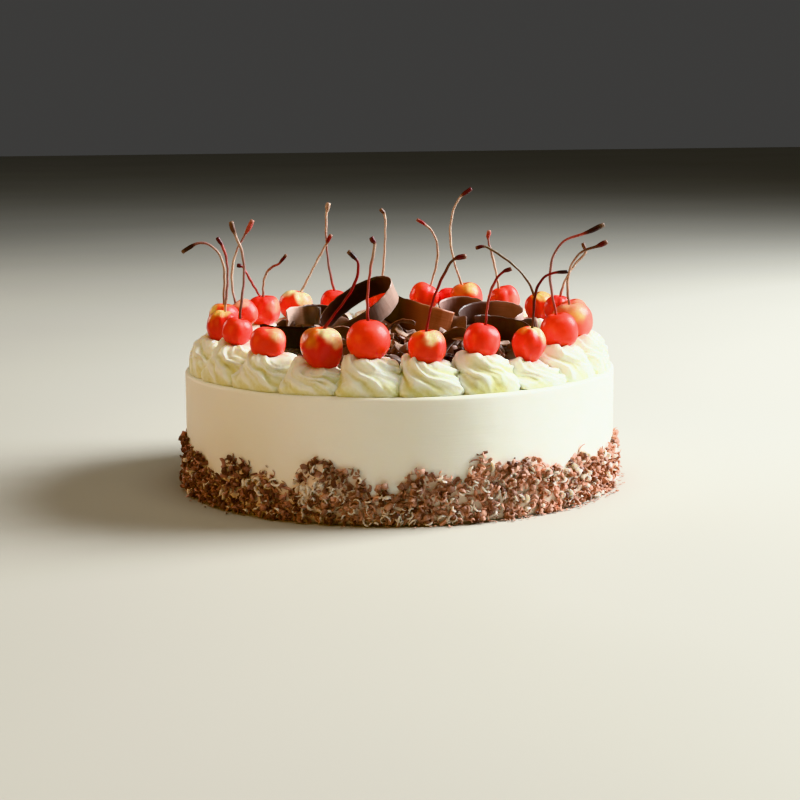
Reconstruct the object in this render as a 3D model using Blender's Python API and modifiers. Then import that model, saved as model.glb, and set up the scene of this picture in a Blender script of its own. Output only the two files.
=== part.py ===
"""A black forest cake: a round cream-coated cake with a ring of piped cream
swirls, a maraschino cherry on its stem pressed into each swirl, and a heap of
shaved chocolate curls in the middle.

Frame: metres, +Z up.  The origin is the middle of the flat underside; the
side that is seen first faces -Y.  Azimuths round the cake are counted from -Y
towards +X.
"""

import math

import bmesh
import bpy
import numpy as np
from mathutils import Matrix, Vector

MM = 0.001

# ---- cake ------------------------------------------------------------------
CAKE_RADIUS = 105.0
CAKE_HEIGHT = 57.0
CAKE_EDGE = 1.6            # rounding where the side meets the top
CAKE_SEGMENTS = 48

# ---- piped swirls ----------------------------------------------------------
SWIRLS = 22
SWIRL_RING = 88.0          # radius of the ring of swirl centres
SWIRL_RADIUS = 15.4        # foot of a free swirl
SWIRL_FIRST = -8.2         # azimuth of the first swirl, degrees
SWIRL_RIDGES = 8           # teeth of the star nozzle
SWIRL_TWIST = 66.0         # degrees a ridge turns between rim and foot
SWIRL_RIM = 13.2           # height of the rim round the cherry
SWIRL_FIN = 2.4            # how far ridge tips stand over the rim's valleys
SWIRL_PEAK = 6.2           # pulled-up tip beside the cherry
GAP = 0.3                  # clearance between neighbours
CUP_GAP = 0.75             # clearance of the hollow that holds a cherry

# ---- cherries and stems ----------------------------------------------------
# slot: which swirl; dx: shift along the ring (mm, + is anticlockwise seen from
# above); dr: shift outwards; z: height of the middle; rx, rz: half width and
# half height; tilt: how far the stem's hollow leans to +X, degrees.
CHERRIES = [
    # slot  dx    dr    z     rx   rz  tilt
    (0, -1.0, -0.8, 80.3, 9.8, 9.6, 2),
    (1, 0.0, 1.0, 77.1, 8.7, 8.3, -4),
    (2, 0.9, -0.1, 78.8, 8.2, 8.2, 12),
    (3, 0.4, 2.2, 75.5, 7.8, 8.6, 6),
    (4, 0.2, 0.9, 78.8, 8.8, 8.8, -10),
    (5, 0.0, -1.4, 80.3, 9.6, 9.5, -8),
    (6, 2.4, -1.8, 81.1, 7.4, 7.4, -8),
    (7, 3.2, -2.6, 80.6, 7.2, 7.2, 8),
    (8, 0.2, -0.7, 79.3, 7.9, 7.8, -24),
    (9, 2.4, 0.0, 81.0, 8.1, 7.6, -22),
    (10, 0.2, 0.1, 81.0, 8.7, 8.4, -10),
    (11, -1.4, 0.5, 81.0, 8.0, 7.6, 28),
    (12, -2.8, 0.4, 81.2, 7.9, 7.9, 6),
    (13, -2.4, -0.4, 78.6, 7.7, 7.7, 10),
    (14, -3.2, -1.6, 79.4, 8.8, 8.2, 12),
    (15, -3.0, -3.4, 79.3, 8.5, 8.0, -3),
    (16, -3.2, -5.4, 80.2, 7.2, 7.3, -34),
    (17, -2.8, -2.0, 80.9, 7.4, 7.3, 4),
    (18, -0.2, -0.2, 80.0, 7.4, 8.2, 12),
    (19, -1.6, 0.4, 80.2, 6.9, 6.9, 14),
    (20, -0.8, 1.8, 77.5, 8.7, 7.5, 4),
    (21, 2.4, 0.6, 77.3, 9.7, 9.4, 1),
]
# Cherry number; length; lean at the foot, halfway and at the top (degrees, +
# to +X); length and lean of the dark club at its end.
STEMS = [
    (1, 35, -6, 6, 15, 3.8, -33),
    (2, 35, 4, 20, 33, 6.0, 80),
    (3, 26, 8, 12, 46, 4.5, 72),
    (4, 30, 20, 8, 84, 6.0, 88),
    (5, 45, -6, 4, 92, 12.0, 66),
    (6, 34, -8, 14, 88, 6.5, 66),
    (8, 27, 5, 30, 52, 5.4, -25),
    (9, 38, -9, -46, -58, 5.0, -106),
    (10, 27, -8, -12, -18, 5.0, 8),
    (11, 49, -22, -6, 31, 8.0, 56),
    (12, 35, 16, 6, -48, 6.6, -58),
    (13, 38, 8, 4, 0, 4.0, -40),
    (14, 43.5, -17, -5, 4, 5.0, 14),
    (15, 29, 30, 28, 32, 6.0, 26),
    (16, 21, 4, 14, 88, 6.6, 37),
    (16, 19, -28, -28, -24, 3.0, -80),
    (17, 36, -17, 6, 36, 9.0, 29),
    (18, 39, -8, -6, -98, 9.0, -123),
    (19, 32, 4, 4, -20, 5.0, -30),
    (20, 40, 2, 5, -30, 7.0, -16),
    (22, 35, 28, 36, -4, 6.5, -47),
]
STEM_RADIUS = 0.62
STEM_CLUB = 1.25           # radius at the dark swollen end of a stem
STEM_STEPS = 5
STRAY_CHERRY = (163.6, 98.4, 78.6, 6.9, 6.7)   # azimuth, ring radius, z, rx, rz
CHERRY_SIDES, CHERRY_RINGS = 10, 6
CHERRY_DIMPLE = 1.1

# ---- chocolate curls -------------------------------------------------------
CURL_THICKNESS = 1.3
# Middle; lean of the roll's axis from upright and the azimuth (from +X) it
# leans to; spin of the long axis; half axes of the bend; first and last angle
# round it; growth of the bend; width of the ribbon.
CURLS = {
    "big_loop": ((-19.0, -6.0, 84.9), 45, -113, 24, 19.5, 9.2, -172, 166, 1.06, 12.6),
    "left_roll": ((-46.5, 4.6, 79.8), 4, -90, 0, 7.8, 7.2, -15, 205, 1.12, 9.6),
    "left_strip": ((-53.0, -13.5, 74.4), 3, 0, 0, 14.5, 10.0, 200, 330, 1.05, 10.6),
    "middle_panel": ((11.0, 27.5, 79.6), 15, 0, 0, 27.0, 25.0, 229, 306, 1.0, 14.4),
    "back_arch": ((33.0, 33.5, 76.4), 17, -90, 0, 11.5, 10.0, -15, 205, 1.05, 12.6),
    "right_arch": ((46.5, 14.5, 75.8), 14, -90, 0, 15.5, 13.0, -45, 190, 1.05, 12.0),
    "right_strip": ((48.0, -17.0, 73.2), 12, -50, 0, 15.5, 11.5, -5, 140, 1.0, 11.6),
    "front_sliver": ((3.0, -30.0, 74.0), 72, -84, 0, 9.0, 8.0, 60, 185, 1.0, 7.0),
    "front_left": ((-27.0, -38.0, 69.4), 66, -60, 0, 10.6, 9.0, 8, 172, 1.05, 12.0),
    "front_right": ((28.0, -38.0, 68.4), 64, -125, 0, 10.6, 9.0, 12, 172, 1.05, 11.0),
    "back_left": ((-38.0, 27.0, 73.5), 24, -60, 0, 12.5, 10.5, 20, 250, 1.06, 11.0),
    "back_middle": ((-8.0, 42.0, 68.4), 70, -100, 0, 10.7, 9.6, 5, 175, 1.05, 14.0),
    "back_right": ((17.0, 50.0, 66.6), 66, -60, 0, 10.0, 8.0, 8, 172, 1.05, 11.0),
}
HEAP_RADIUS = 61.0         # heap of small shavings under the curls
HEAP_HEIGHT = 13.5
HEAP_EDGE = 3.2
HEAP_SECTORS, HEAP_RINGS = 26, 5


def collection(name):
    made = bpy.data.collections.new(name)
    bpy.context.scene.collection.children.link(made)
    return made


def material(name, colour, roughness, metallic=0.0):
    made = bpy.data.materials.new(name)
    made.use_nodes = True
    shader = made.node_tree.nodes["Principled BSDF"]
    shader.inputs["Base Color"].default_value = (*colour, 1.0)
    shader.inputs["Roughness"].default_value = roughness
    shader.inputs["Metallic"].default_value = metallic
    return made


def clear_scene():
    for obj in list(bpy.data.objects):
        bpy.data.objects.remove(obj, do_unlink=True)


def object_from(bm, name, coll, mat, smooth_angle=50):
    mesh = bpy.data.meshes.new(name)
    bmesh.ops.recalc_face_normals(bm, faces=bm.faces)
    bm.to_mesh(mesh)
    bm.free()
    mesh.materials.append(mat)
    mesh.shade_smooth()
    mesh.set_sharp_from_angle(angle=math.radians(smooth_angle))
    obj = bpy.data.objects.new(name, mesh)
    coll.objects.link(obj)
    return obj


def ring_point(azimuth, radius, z):
    a = math.radians(azimuth)
    return Vector((radius * math.sin(a), -radius * math.cos(a), z))


# ---- the cake --------------------------------------------------------------
def make_cake(coll, mat):
    """The coated cake, turned from its outline: top, rounded edge, side, foot."""
    bm = bmesh.new()
    outline = [(0.0, CAKE_HEIGHT)]
    for step in range(4):
        a = math.radians(90.0 - 30.0 * step)
        outline.append((
            CAKE_RADIUS - CAKE_EDGE + CAKE_EDGE * math.cos(a),
            CAKE_HEIGHT - CAKE_EDGE + CAKE_EDGE * math.sin(a),
        ))
    outline += [(CAKE_RADIUS, 0.0), (0.0, 0.0)]
    verts = [bm.verts.new((x * MM, 0.0, z * MM)) for x, z in outline]
    for a, b in zip(verts, verts[1:]):
        bm.edges.new((a, b))
    mesh = bpy.data.meshes.new("cake_body")
    bm.to_mesh(mesh)
    bm.free()
    mesh.materials.append(mat)
    obj = bpy.data.objects.new("cake_body", mesh)
    coll.objects.link(obj)
    turn = obj.modifiers.new("turn", "SCREW")
    turn.steps = turn.render_steps = CAKE_SEGMENTS
    turn.use_merge_vertices = True
    turn.merge_threshold = 0.0001
    turn.use_smooth_shade = False
    return obj


# ---- cherries --------------------------------------------------------------
def cherry_places():
    """Middle, half width and half height of every cherry."""
    step = 360.0 / SWIRLS
    places = []
    for slot, dx, dr, z, rx, rz, _tilt in CHERRIES:
        azimuth = SWIRL_FIRST + slot * step + math.degrees(dx / SWIRL_RING)
        places.append((ring_point(azimuth, SWIRL_RING + dr, z), rx, rz))
    azimuth, radius, z, rx, rz = STRAY_CHERRY
    places.append((ring_point(azimuth, radius, z), rx, rz))
    return places


def stem_points(foot, length, lean_foot, lean_half, lean_top, club, club_lean):
    """A stem's middle line: one smooth bend, then the short club at its end."""
    at = foot + Vector((0.0, 0.0, -2.2))
    points = [at.copy()]
    for i in range(STEM_STEPS):
        t = (i + 0.5) / STEM_STEPS
        a = math.radians(
            lean_foot * (1 - t) * (1 - 2 * t) + lean_half * 4 * t * (1 - t) + lean_top * t * (2 * t - 1)
        )
        at = at + Vector((math.sin(a), 0.12 * math.sin(3 * a), math.cos(a))) * ((length + 2.2) / STEM_STEPS)
        points.append(at.copy())
    a = math.radians(club_lean)
    for part in (0.4, 1.0):
        points.append(at + Vector((math.sin(a), 0.0, math.cos(a))) * club * part)
    return points


def tube(points, radii, name):
    """A stem as a bevelled poly curve made a mesh, its caps welded on."""
    curve = bpy.data.curves.new(name, "CURVE")
    curve.dimensions = "3D"
    curve.bevel_depth = 1.0 * MM
    curve.bevel_resolution = 1
    curve.use_fill_caps = True
    spline = curve.splines.new("POLY")
    spline.points.add(len(points) - 1)
    for point, at, radius in zip(spline.points, points, radii):
        point.co = (*(at * MM), 1.0)
        point.radius = radius
    obj = bpy.data.objects.new(name, curve)
    bpy.context.scene.collection.objects.link(obj)
    bpy.context.view_layer.update()
    graph = bpy.context.evaluated_depsgraph_get()
    mesh = bpy.data.meshes.new_from_object(obj.evaluated_get(graph))
    bm = bmesh.new()
    bm.from_mesh(mesh)
    bmesh.ops.remove_doubles(bm, verts=bm.verts, dist=0.00001)
    bmesh.ops.recalc_face_normals(bm, faces=bm.faces)
    bm.to_mesh(mesh)
    bm.free()
    bpy.data.objects.remove(obj, do_unlink=True)
    return mesh


def make_cherry(name, centre, rx, rz, tilt, stems, coll, helpers, mat, stem_mat):
    """One cherry: a slightly flattened ball, dimpled where its stem goes in,
    with the stem joined on, so that fruit and stem are one piece."""
    turn = Matrix.Rotation(math.radians(tilt), 3, "Y")
    bm = bmesh.new()
    bmesh.ops.create_uvsphere(bm, u_segments=CHERRY_SIDES, v_segments=CHERRY_RINGS, radius=1.0)
    for v in bm.verts:
        across = math.hypot(v.co.x, v.co.y)
        z = v.co.z * rz
        if v.co.z > 0.0:
            z -= CHERRY_DIMPLE * max(0.0, 1.0 - across / 0.62) ** 1.2 * 1.6
        v.co = (centre + turn @ Vector((v.co.x * rx, v.co.y * rx, z))) * MM
    obj = object_from(bm, name, coll, mat)
    foot = centre + turn @ Vector((0.0, 0.0, rz - 1.6 * CHERRY_DIMPLE))
    radii = [STEM_RADIUS * 1.3] + [STEM_RADIUS] * (STEM_STEPS - 1) + [STEM_RADIUS * 1.2, STEM_CLUB, STEM_CLUB * 0.72]
    for count, stem in enumerate(stems):
        piece = f"{name}_stem_{count + 1}"
        mesh = tube(stem_points(foot, *stem), radii, piece)
        mesh.materials.append(stem_mat)
        cutter = bpy.data.objects.new(piece, mesh)
        helpers.objects.link(cutter)
        cutter.hide_render = True
        cutter.display_type = "WIRE"
        join = obj.modifiers.new(piece, "BOOLEAN")
        join.operation = "UNION"
        join.solver = "EXACT"
        join.object = cutter
    return obj


# ---- swirls ----------------------------------------------------------------
def swirl_levels(rim):
    """(share of the foot radius, height, share of the twist, ridge depth)."""
    return [
        (0.96, 0.0, 1.00, 0.06),
        (1.02, 0.24 * rim, 0.80, 0.10),
        (0.86, 0.66 * rim, 0.42, 0.13),
        (0.60, rim, 0.00, 0.10),
    ]


def push_out(point, places, gap):
    """Move a point that a cherry would cover out to the cherry's skin."""
    for centre, rx, rz in places:
        offset = point - centre
        scaled = Vector((offset.x / (rx + gap), offset.y / (rx + gap), offset.z / (rz + gap)))
        if scaled.length < 1.0:
            if scaled.length < 0.05:
                scaled = Vector((0.0, 0.0, -1.0))
            scaled.normalize()
            point = centre + Vector((scaled.x * (rx + gap), scaled.y * (rx + gap), scaled.z * (rz + gap)))
    return point


def make_swirl(index, places, coll, mat):
    """One twisted star swirl, squeezed flat against its two neighbours and
    hollowed where its cherry is pressed in."""
    step = 360.0 / SWIRLS
    azimuth = SWIRL_FIRST + index * step
    middle = ring_point(azimuth, SWIRL_RING, CAKE_HEIGHT + GAP)
    out = ring_point(azimuth, 1.0, 0.0)
    along = Vector((-out.y, out.x, 0.0))                 # anticlockwise
    half = SWIRL_RING * math.sin(math.radians(step / 2)) - GAP / 2
    rim = SWIRL_RIM * (1.0 + 0.05 * math.sin(2.1 * index) + 0.04 * math.cos(1.3 * index))
    near = [p for p in places if (p[0] - middle).length < 45.0]
    own = min(near, key=lambda p: ((p[0] - middle).xy.length))
    phase = 0.7 * index
    sides = 2 * SWIRL_RIDGES
    bm = bmesh.new()
    rings = []
    for share, height, turn, depth in swirl_levels(rim):
        ring = []
        for j in range(sides):
            crest = 1.0 if j % 2 == 0 else -1.0
            a = phase + 2 * math.pi * j / sides - math.radians(SWIRL_TWIST) * turn
            r = SWIRL_RADIUS * share * (1.0 + depth * crest)
            z = height
            if turn == 0.0:
                z += 0.5 * SWIRL_FIN * crest
                left = math.cos(a - math.pi)             # towards the clockwise side
                z += SWIRL_PEAK * max(0.0, left) ** 4
                r *= 1.0 + 0.10 * max(0.0, left) ** 4
            local = Vector((r * math.cos(a), r * math.sin(a)))
            # squeezed between the two planes halfway to the neighbours
            lean = (SWIRL_RING + local.y) / SWIRL_RING
            limit = half * lean - 0.05
            x = max(-limit, min(limit, local.x))
            at = middle + along * x + out * local.y + Vector((0, 0, z))
            if z > 0.0:
                at = push_out(at, near, CUP_GAP)
                at.z = max(at.z, middle.z + 0.4)
            # the push may not carry it over the plane, or past the cake's edge
            side = (at - middle).dot(along)
            reach = (at - middle).dot(out)
            limit = half * (SWIRL_RING + reach) / SWIRL_RING - 0.05
            if abs(side) > limit:
                at -= along * (side - math.copysign(limit, side))
            ring.append(bm.verts.new(at * MM))
        rings.append(ring)
    centre, rx, rz = own
    # two rings of the hollow, then its lowest point
    for share in (0.52,):
        ring = []
        for j in range(sides):
            a = phase + 2 * math.pi * j / sides
            r = (rx + CUP_GAP) * share
            drop = (rz + CUP_GAP) * math.sqrt(1.0 - share * share)
            at = centre + along * (r * math.cos(a)) + out * (r * math.sin(a)) - Vector((0, 0, drop))
            ring.append(bm.verts.new(at * MM))
        rings.append(ring)
    low = bm.verts.new((centre - Vector((0, 0, rz + CUP_GAP))) * MM)
    foot = bm.verts.new(middle * MM)
    for lower, upper in zip(rings, rings[1:]):
        for j in range(sides):
            k = (j + 1) % sides
            bm.faces.new((lower[j], lower[k], upper[k], upper[j]))
    for j in range(sides):
        k = (j + 1) % sides
        bm.faces.new((rings[-1][j], rings[-1][k], low))
        bm.faces.new((rings[0][k], rings[0][j], foot))
    return object_from(bm, f"cream_swirl_{index + 1:02d}", coll, mat)


# ---- curls -----------------------------------------------------------------
def curl_rows(spec, steps):
    """The two long edges of a ribbon swept round part of an oval, in mm."""
    centre, lean, toward, spin, a, b, first, last, growth, width = spec
    hinge = Vector((-math.sin(math.radians(toward)), math.cos(math.radians(toward)), 0.0))
    turn = Matrix.Rotation(math.radians(lean), 3, hinge) @ Matrix.Rotation(math.radians(spin), 3, "Z")
    flat, other, axis = turn.col[0].copy(), turn.col[1].copy(), turn.col[2].copy()
    rows = []
    for i in range(steps + 1):
        t = i / steps
        angle = math.radians(first + (last - first) * t)
        grow = 1.0 + (growth - 1.0) * t
        at = Vector(centre) + flat * (a * grow * math.cos(angle)) + other * (b * grow * math.sin(angle))
        taper = 1.0 - 0.12 * (2 * t - 1) ** 4
        rows.append([at + axis * (width * taper * s) for s in (-0.5, 0.5)])
    return rows


def make_curl(name, spec, coll, mat):
    """A shaving of chocolate: a flat ribbon given its thickness by Solidify."""
    bm = bmesh.new()
    steps = max(6, int(abs(spec[7] - spec[6]) / 24.0))
    rows = [[bm.verts.new(p * MM) for p in row] for row in curl_rows(spec, steps)]
    for low, high in zip(rows, rows[1:]):
        bm.faces.new((low[0], low[1], high[1], high[0]))
    obj = object_from(bm, name, coll, mat, 60)
    thick = obj.modifiers.new("thickness", "SOLIDIFY")
    thick.thickness = CURL_THICKNESS * MM
    thick.offset = 0.0
    thick.use_even_offset = True
    return obj


def make_heap(coll, mat):
    """The low heap of small shavings that the curls lie on, out to its uneven
    outline and pressed down wherever a curl rests on it."""
    resting = [p for spec in CURLS.values() for row in curl_rows(spec, 24) for p in row]
    base = CAKE_HEIGHT + GAP
    bm = bmesh.new()
    rings = []
    for i in range(HEAP_RINGS + 1):
        share = 1.0 - i / (HEAP_RINGS + 0.6)
        ring = []
        for j in range(HEAP_SECTORS):
            a = 2 * math.pi * j / HEAP_SECTORS + 0.12 * i
            edge = HEAP_RADIUS * (1.0 + 0.05 * math.sin(3 * a + 0.6) + 0.035 * math.sin(7 * a) + 0.02 * math.sin(11 * a + 2.0))
            x, y = edge * share * math.cos(a), edge * share * 0.92 * math.sin(a)
            rough = 1.0 + 0.10 * math.sin(5 * a + 2.2 * i) + 0.08 * math.cos(3 * a - 1.7 * i)
            z = HEAP_EDGE + (HEAP_HEIGHT - HEAP_EDGE) * math.sqrt(max(0.0, 1.0 - share ** 2)) * rough
            for p in resting:
                if (p.x - x) ** 2 + (p.y - y) ** 2 < 9.0 ** 2:
                    z = min(z, p.z - base - 1.3)
            ring.append(bm.verts.new(Vector((x, y, base + max(z, 1.0))) * MM))
        rings.append(ring)
    foot = [bm.verts.new((v.co.x, v.co.y, base * MM)) for v in rings[0]]
    rings.insert(0, foot)
    for lower, upper in zip(rings, rings[1:]):
        for j in range(HEAP_SECTORS):
            k = (j + 1) % HEAP_SECTORS
            bm.faces.new((lower[j], lower[k], upper[k], upper[j]))
    top = bm.verts.new(sum((v.co for v in rings[-1]), Vector()) / HEAP_SECTORS)
    low = bm.verts.new((0.0, 0.0, base * MM))
    for j in range(HEAP_SECTORS):
        k = (j + 1) % HEAP_SECTORS
        bm.faces.new((rings[-1][j], rings[-1][k], top))
        bm.faces.new((foot[k], foot[j], low))
    return object_from(bm, "chocolate_shavings_heap", coll, mat, 30)


def main():
    clear_scene()
    parts = collection("black_forest_cake")
    helpers = collection("helpers")
    helpers.hide_render = True
    cream = material("whipped_cream", (0.90, 0.87, 0.76), 0.45)
    fruit = material("cherry_red", (0.80, 0.04, 0.02), 0.12)
    stem = material("stem_brown", (0.30, 0.12, 0.07), 0.5)
    chocolate = material("dark_chocolate", (0.06, 0.03, 0.02), 0.38)

    make_cake(parts, cream)
    places = cherry_places()
    for index in range(SWIRLS):
        make_swirl(index, places, parts, cream)
    for number, (centre, rx, rz) in enumerate(places, start=1):
        tilt = CHERRIES[number - 1][6] if number <= len(CHERRIES) else 0
        stems = [row[1:] for row in STEMS if row[0] == number]
        make_cherry(f"cherry_{number:02d}", centre, rx, rz, tilt, stems, parts, helpers, fruit, stem)
    for name, spec in CURLS.items():
        make_curl("chocolate_curl_" + name, spec, parts, chocolate)
    make_heap(parts, chocolate)


main()
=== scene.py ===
import math

import bpy
import numpy as np
from mathutils import Matrix, Vector
from mathutils.bvhtree import BVHTree


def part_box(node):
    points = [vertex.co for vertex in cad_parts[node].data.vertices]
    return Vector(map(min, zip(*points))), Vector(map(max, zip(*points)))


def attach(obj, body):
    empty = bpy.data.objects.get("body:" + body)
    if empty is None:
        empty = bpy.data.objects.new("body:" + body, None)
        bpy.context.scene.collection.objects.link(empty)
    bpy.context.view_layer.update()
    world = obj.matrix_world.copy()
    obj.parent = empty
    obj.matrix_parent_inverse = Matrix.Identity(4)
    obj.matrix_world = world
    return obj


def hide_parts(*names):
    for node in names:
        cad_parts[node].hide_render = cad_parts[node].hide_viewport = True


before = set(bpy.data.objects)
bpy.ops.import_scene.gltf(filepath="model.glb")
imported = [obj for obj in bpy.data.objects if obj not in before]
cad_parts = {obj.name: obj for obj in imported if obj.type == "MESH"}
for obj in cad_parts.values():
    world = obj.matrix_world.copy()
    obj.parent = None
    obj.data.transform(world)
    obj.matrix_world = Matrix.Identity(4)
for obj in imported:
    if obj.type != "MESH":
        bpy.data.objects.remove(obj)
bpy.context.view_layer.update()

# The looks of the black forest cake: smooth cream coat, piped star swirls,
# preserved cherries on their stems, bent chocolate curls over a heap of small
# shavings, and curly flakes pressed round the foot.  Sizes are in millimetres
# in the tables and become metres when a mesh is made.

MM = 0.001

# ---------------------------------------------------------------- sizes (CAD)
CAKE_RADIUS, CAKE_HEIGHT, CAKE_EDGE = 105.0, 57.0, 1.6
SWIRLS, SWIRL_RING, SWIRL_RADIUS, SWIRL_FIRST = 22, 88.0, 15.4, -8.2
RIM_DROP = {0: 0.8, 3: 3.6, 21: 2.0}
SWIRL_RIDGES, SWIRL_TWIST, SWIRL_RIM, SWIRL_FIN, SWIRL_PEAK = 8, 66.0, 13.2, 2.4, 6.2
CHERRIES = [
    # slot  dx    dr    z     rx   rz  tilt
    (0, -1.0, -0.8, 80.3, 9.8, 9.6, 2),
    (1, 0.0, 1.0, 77.1, 8.7, 8.3, -4),
    (2, 0.9, -0.1, 78.8, 8.2, 8.2, 12),
    (3, 0.4, 2.2, 75.5, 7.8, 8.6, 6),
    (4, 0.2, 0.9, 78.8, 8.8, 8.8, -10),
    (5, 0.0, -1.4, 80.3, 9.6, 9.5, -8),
    (6, 2.4, -1.8, 81.1, 7.4, 7.4, -8),
    (7, 3.2, -2.6, 80.6, 7.2, 7.2, 8),
    (8, 0.2, -0.7, 79.3, 7.9, 7.8, -24),
    (9, 2.4, 0.0, 81.0, 8.1, 7.6, -22),
    (10, 0.2, 0.1, 81.0, 8.7, 8.4, -10),
    (11, -1.4, 0.5, 81.0, 8.0, 7.6, 28),
    (12, -2.8, 0.4, 81.2, 7.9, 7.9, 6),
    (13, -2.4, -0.4, 78.6, 7.7, 7.7, 10),
    (14, -3.2, -1.6, 79.4, 8.8, 8.2, 12),
    (15, -3.0, -3.4, 79.3, 8.5, 8.0, -3),
    (16, -3.2, -5.4, 80.2, 7.2, 7.3, -34),
    (17, -2.8, -2.0, 80.9, 7.4, 7.3, 4),
    (18, -0.2, -0.2, 80.0, 7.4, 8.2, 12),
    (19, -1.6, 0.4, 80.2, 6.9, 6.9, 14),
    (20, -0.8, 1.8, 77.5, 8.7, 7.5, 4),
    (21, 2.4, 0.6, 77.3, 9.7, 9.4, 1),
]
STRAY_CHERRY = (163.6, 98.4, 78.6, 6.9, 6.7)
CHERRY_DIMPLE = 1.1
STEMS = [
    (1, 35, -6, 6, 15, 3.8, -33),
    (2, 35, 4, 20, 33, 6.0, 80),
    (3, 26, 8, 12, 46, 4.5, 72),
    (4, 30, 20, 8, 84, 6.0, 88),
    (5, 45, -6, 4, 92, 12.0, 66),
    (6, 34, -8, 14, 88, 6.5, 66),
    (8, 27, 5, 30, 52, 5.4, -25),
    (9, 38, -9, -46, -58, 5.0, -106),
    (10, 27, -8, -12, -18, 5.0, 8),
    (11, 49, -22, -6, 31, 8.0, 56),
    (12, 35, 16, 6, -48, 6.6, -58),
    (13, 38, 8, 4, 0, 4.0, -40),
    (14, 43.5, -17, -5, 4, 5.0, 14),
    (15, 29, 30, 28, 32, 6.0, 26),
    (16, 21, 4, 14, 88, 6.6, 37),
    (16, 19, -28, -28, -24, 3.0, -80),
    (17, 36, -17, 6, 36, 9.0, 29),
    (18, 39, -8, -6, -98, 9.0, -123),
    (19, 32, 4, 4, -20, 5.0, -30),
    (20, 40, 2, 5, -30, 7.0, -16),
    (22, 35, 28, 36, -4, 6.5, -47),
]
STEM_RADIUS, STEM_CLUB, STEM_STEPS = 0.62, 1.25, 5
CURLS = {
    "big_loop": ((-19.0, -6.0, 84.9), 45, -113, 24, 19.5, 9.2, -172, 166, 1.06, 12.6),
    "left_roll": ((-46.5, 4.6, 79.8), 4, -90, 0, 7.8, 7.2, -15, 205, 1.12, 9.6),
    "left_strip": ((-53.0, -13.5, 74.4), 3, 0, 0, 14.5, 10.0, 200, 330, 1.05, 10.6),
    "middle_panel": ((11.0, 27.5, 79.6), 15, 0, 0, 27.0, 25.0, 229, 306, 1.0, 14.4),
    "back_arch": ((33.0, 33.5, 76.4), 17, -90, 0, 11.5, 10.0, -15, 205, 1.05, 12.6),
    "right_arch": ((46.5, 14.5, 75.8), 14, -90, 0, 15.5, 13.0, -45, 190, 1.05, 12.0),
    "right_strip": ((48.0, -17.0, 73.2), 12, -50, 0, 15.5, 11.5, -5, 140, 1.0, 11.6),
    "front_sliver": ((3.0, -30.0, 74.0), 72, -84, 0, 9.0, 8.0, 60, 185, 1.0, 7.0),
    "front_left": ((-27.0, -38.0, 69.4), 66, -60, 0, 10.6, 9.0, 8, 172, 1.05, 12.0),
    "front_right": ((28.0, -38.0, 68.4), 64, -125, 0, 10.6, 9.0, 12, 172, 1.05, 11.0),
    "back_left": ((-38.0, 27.0, 73.5), 24, -60, 0, 12.5, 10.5, 20, 250, 1.06, 11.0),
    "back_middle": ((-8.0, 42.0, 68.4), 70, -100, 0, 10.7, 9.6, 5, 175, 1.05, 14.0),
    "back_right": ((17.0, 50.0, 66.6), 66, -60, 0, 10.0, 8.0, 8, 172, 1.05, 11.0),
}
# Height of the flakes round the foot, by azimuth, on the side seen first; the
# rest of the way round carries on in the same uneven manner.
FLAKE_TOP = [
    (-90, 25.6), (-80, 26.2), (-71, 24.4), (-65, 22.3), (-61, 22.6), (-57, 17.5), (-53, 13.5), (-50, 23.8),
    (-47, 25.8), (-42, 24.3), (-39, 20.8), (-34, 23.2), (-31, 18.8), (-28, 14.5), (-26, 24.4), (-23, 29.2),
    (-18, 29), (-15, 26), (-12, 27.5), (-9, 24.4), (-7, 16.3), (-4, 20), (-2, 13.4), (0, 17),
    (2, 25.6), (6, 25.2), (10, 25.4), (13, 19.5), (16, 18.5), (18, 28.2), (20, 32.4), (23, 26.6),
    (28, 26.4), (34, 26.8), (40, 21.8), (46, 20.4), (50, 25.2), (53, 27), (58, 19), (63, 22.5),
    (69, 22), (75, 22.3), (83, 23.3), (90, 24.3),
]


def lin(r, g, b, a=1.0):
    """A colour given as 0..255 display values, as linear light."""
    out = []
    for v in (r, g, b):
        v /= 255.0
        out.append(v / 12.92 if v <= 0.04045 else ((v + 0.055) / 1.055) ** 2.4)
    return (*out, a)


# ---------------------------------------------------------------- noise
def lattice(ix, iy, iz, seed):
    n = (ix * 73856093) ^ (iy * 19349663) ^ (iz * 83492791) ^ (seed * 40503 + 7919)
    n = n & 0x7FFFFFFF
    n = ((n ^ (n >> 13)) * 1274126177) & 0x7FFFFFFF
    n = n ^ (n >> 15)
    return (n & 0xFFFF) / 32767.5 - 1.0


def noise(points, size, seed=0, octaves=1):
    """Smooth noise in -1..1 at points (n, 3), with blobs about size across."""
    total = np.zeros(len(points))
    gain, norm = 1.0, 0.0
    for octave in range(octaves):
        q = points / (size / 2.0 ** octave) + 17.3 * octave
        cell = np.floor(q).astype(np.int64)
        f = q - cell
        f = f * f * (3 - 2 * f)
        value = np.zeros(len(points))
        for dx in (0, 1):
            for dy in (0, 1):
                for dz in (0, 1):
                    weight = (f[:, 0] if dx else 1 - f[:, 0]) * (f[:, 1] if dy else 1 - f[:, 1]) * (f[:, 2] if dz else 1 - f[:, 2])
                    value += weight * lattice(cell[:, 0] + dx, cell[:, 1] + dy, cell[:, 2] + dz, seed + octave)
        total += gain * value
        norm += gain
        gain *= 0.5
    return total / norm


def smoothstep(low, high, x):
    t = np.clip((x - low) / (high - low), 0.0, 1.0)
    return t * t * (3 - 2 * t)


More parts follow.
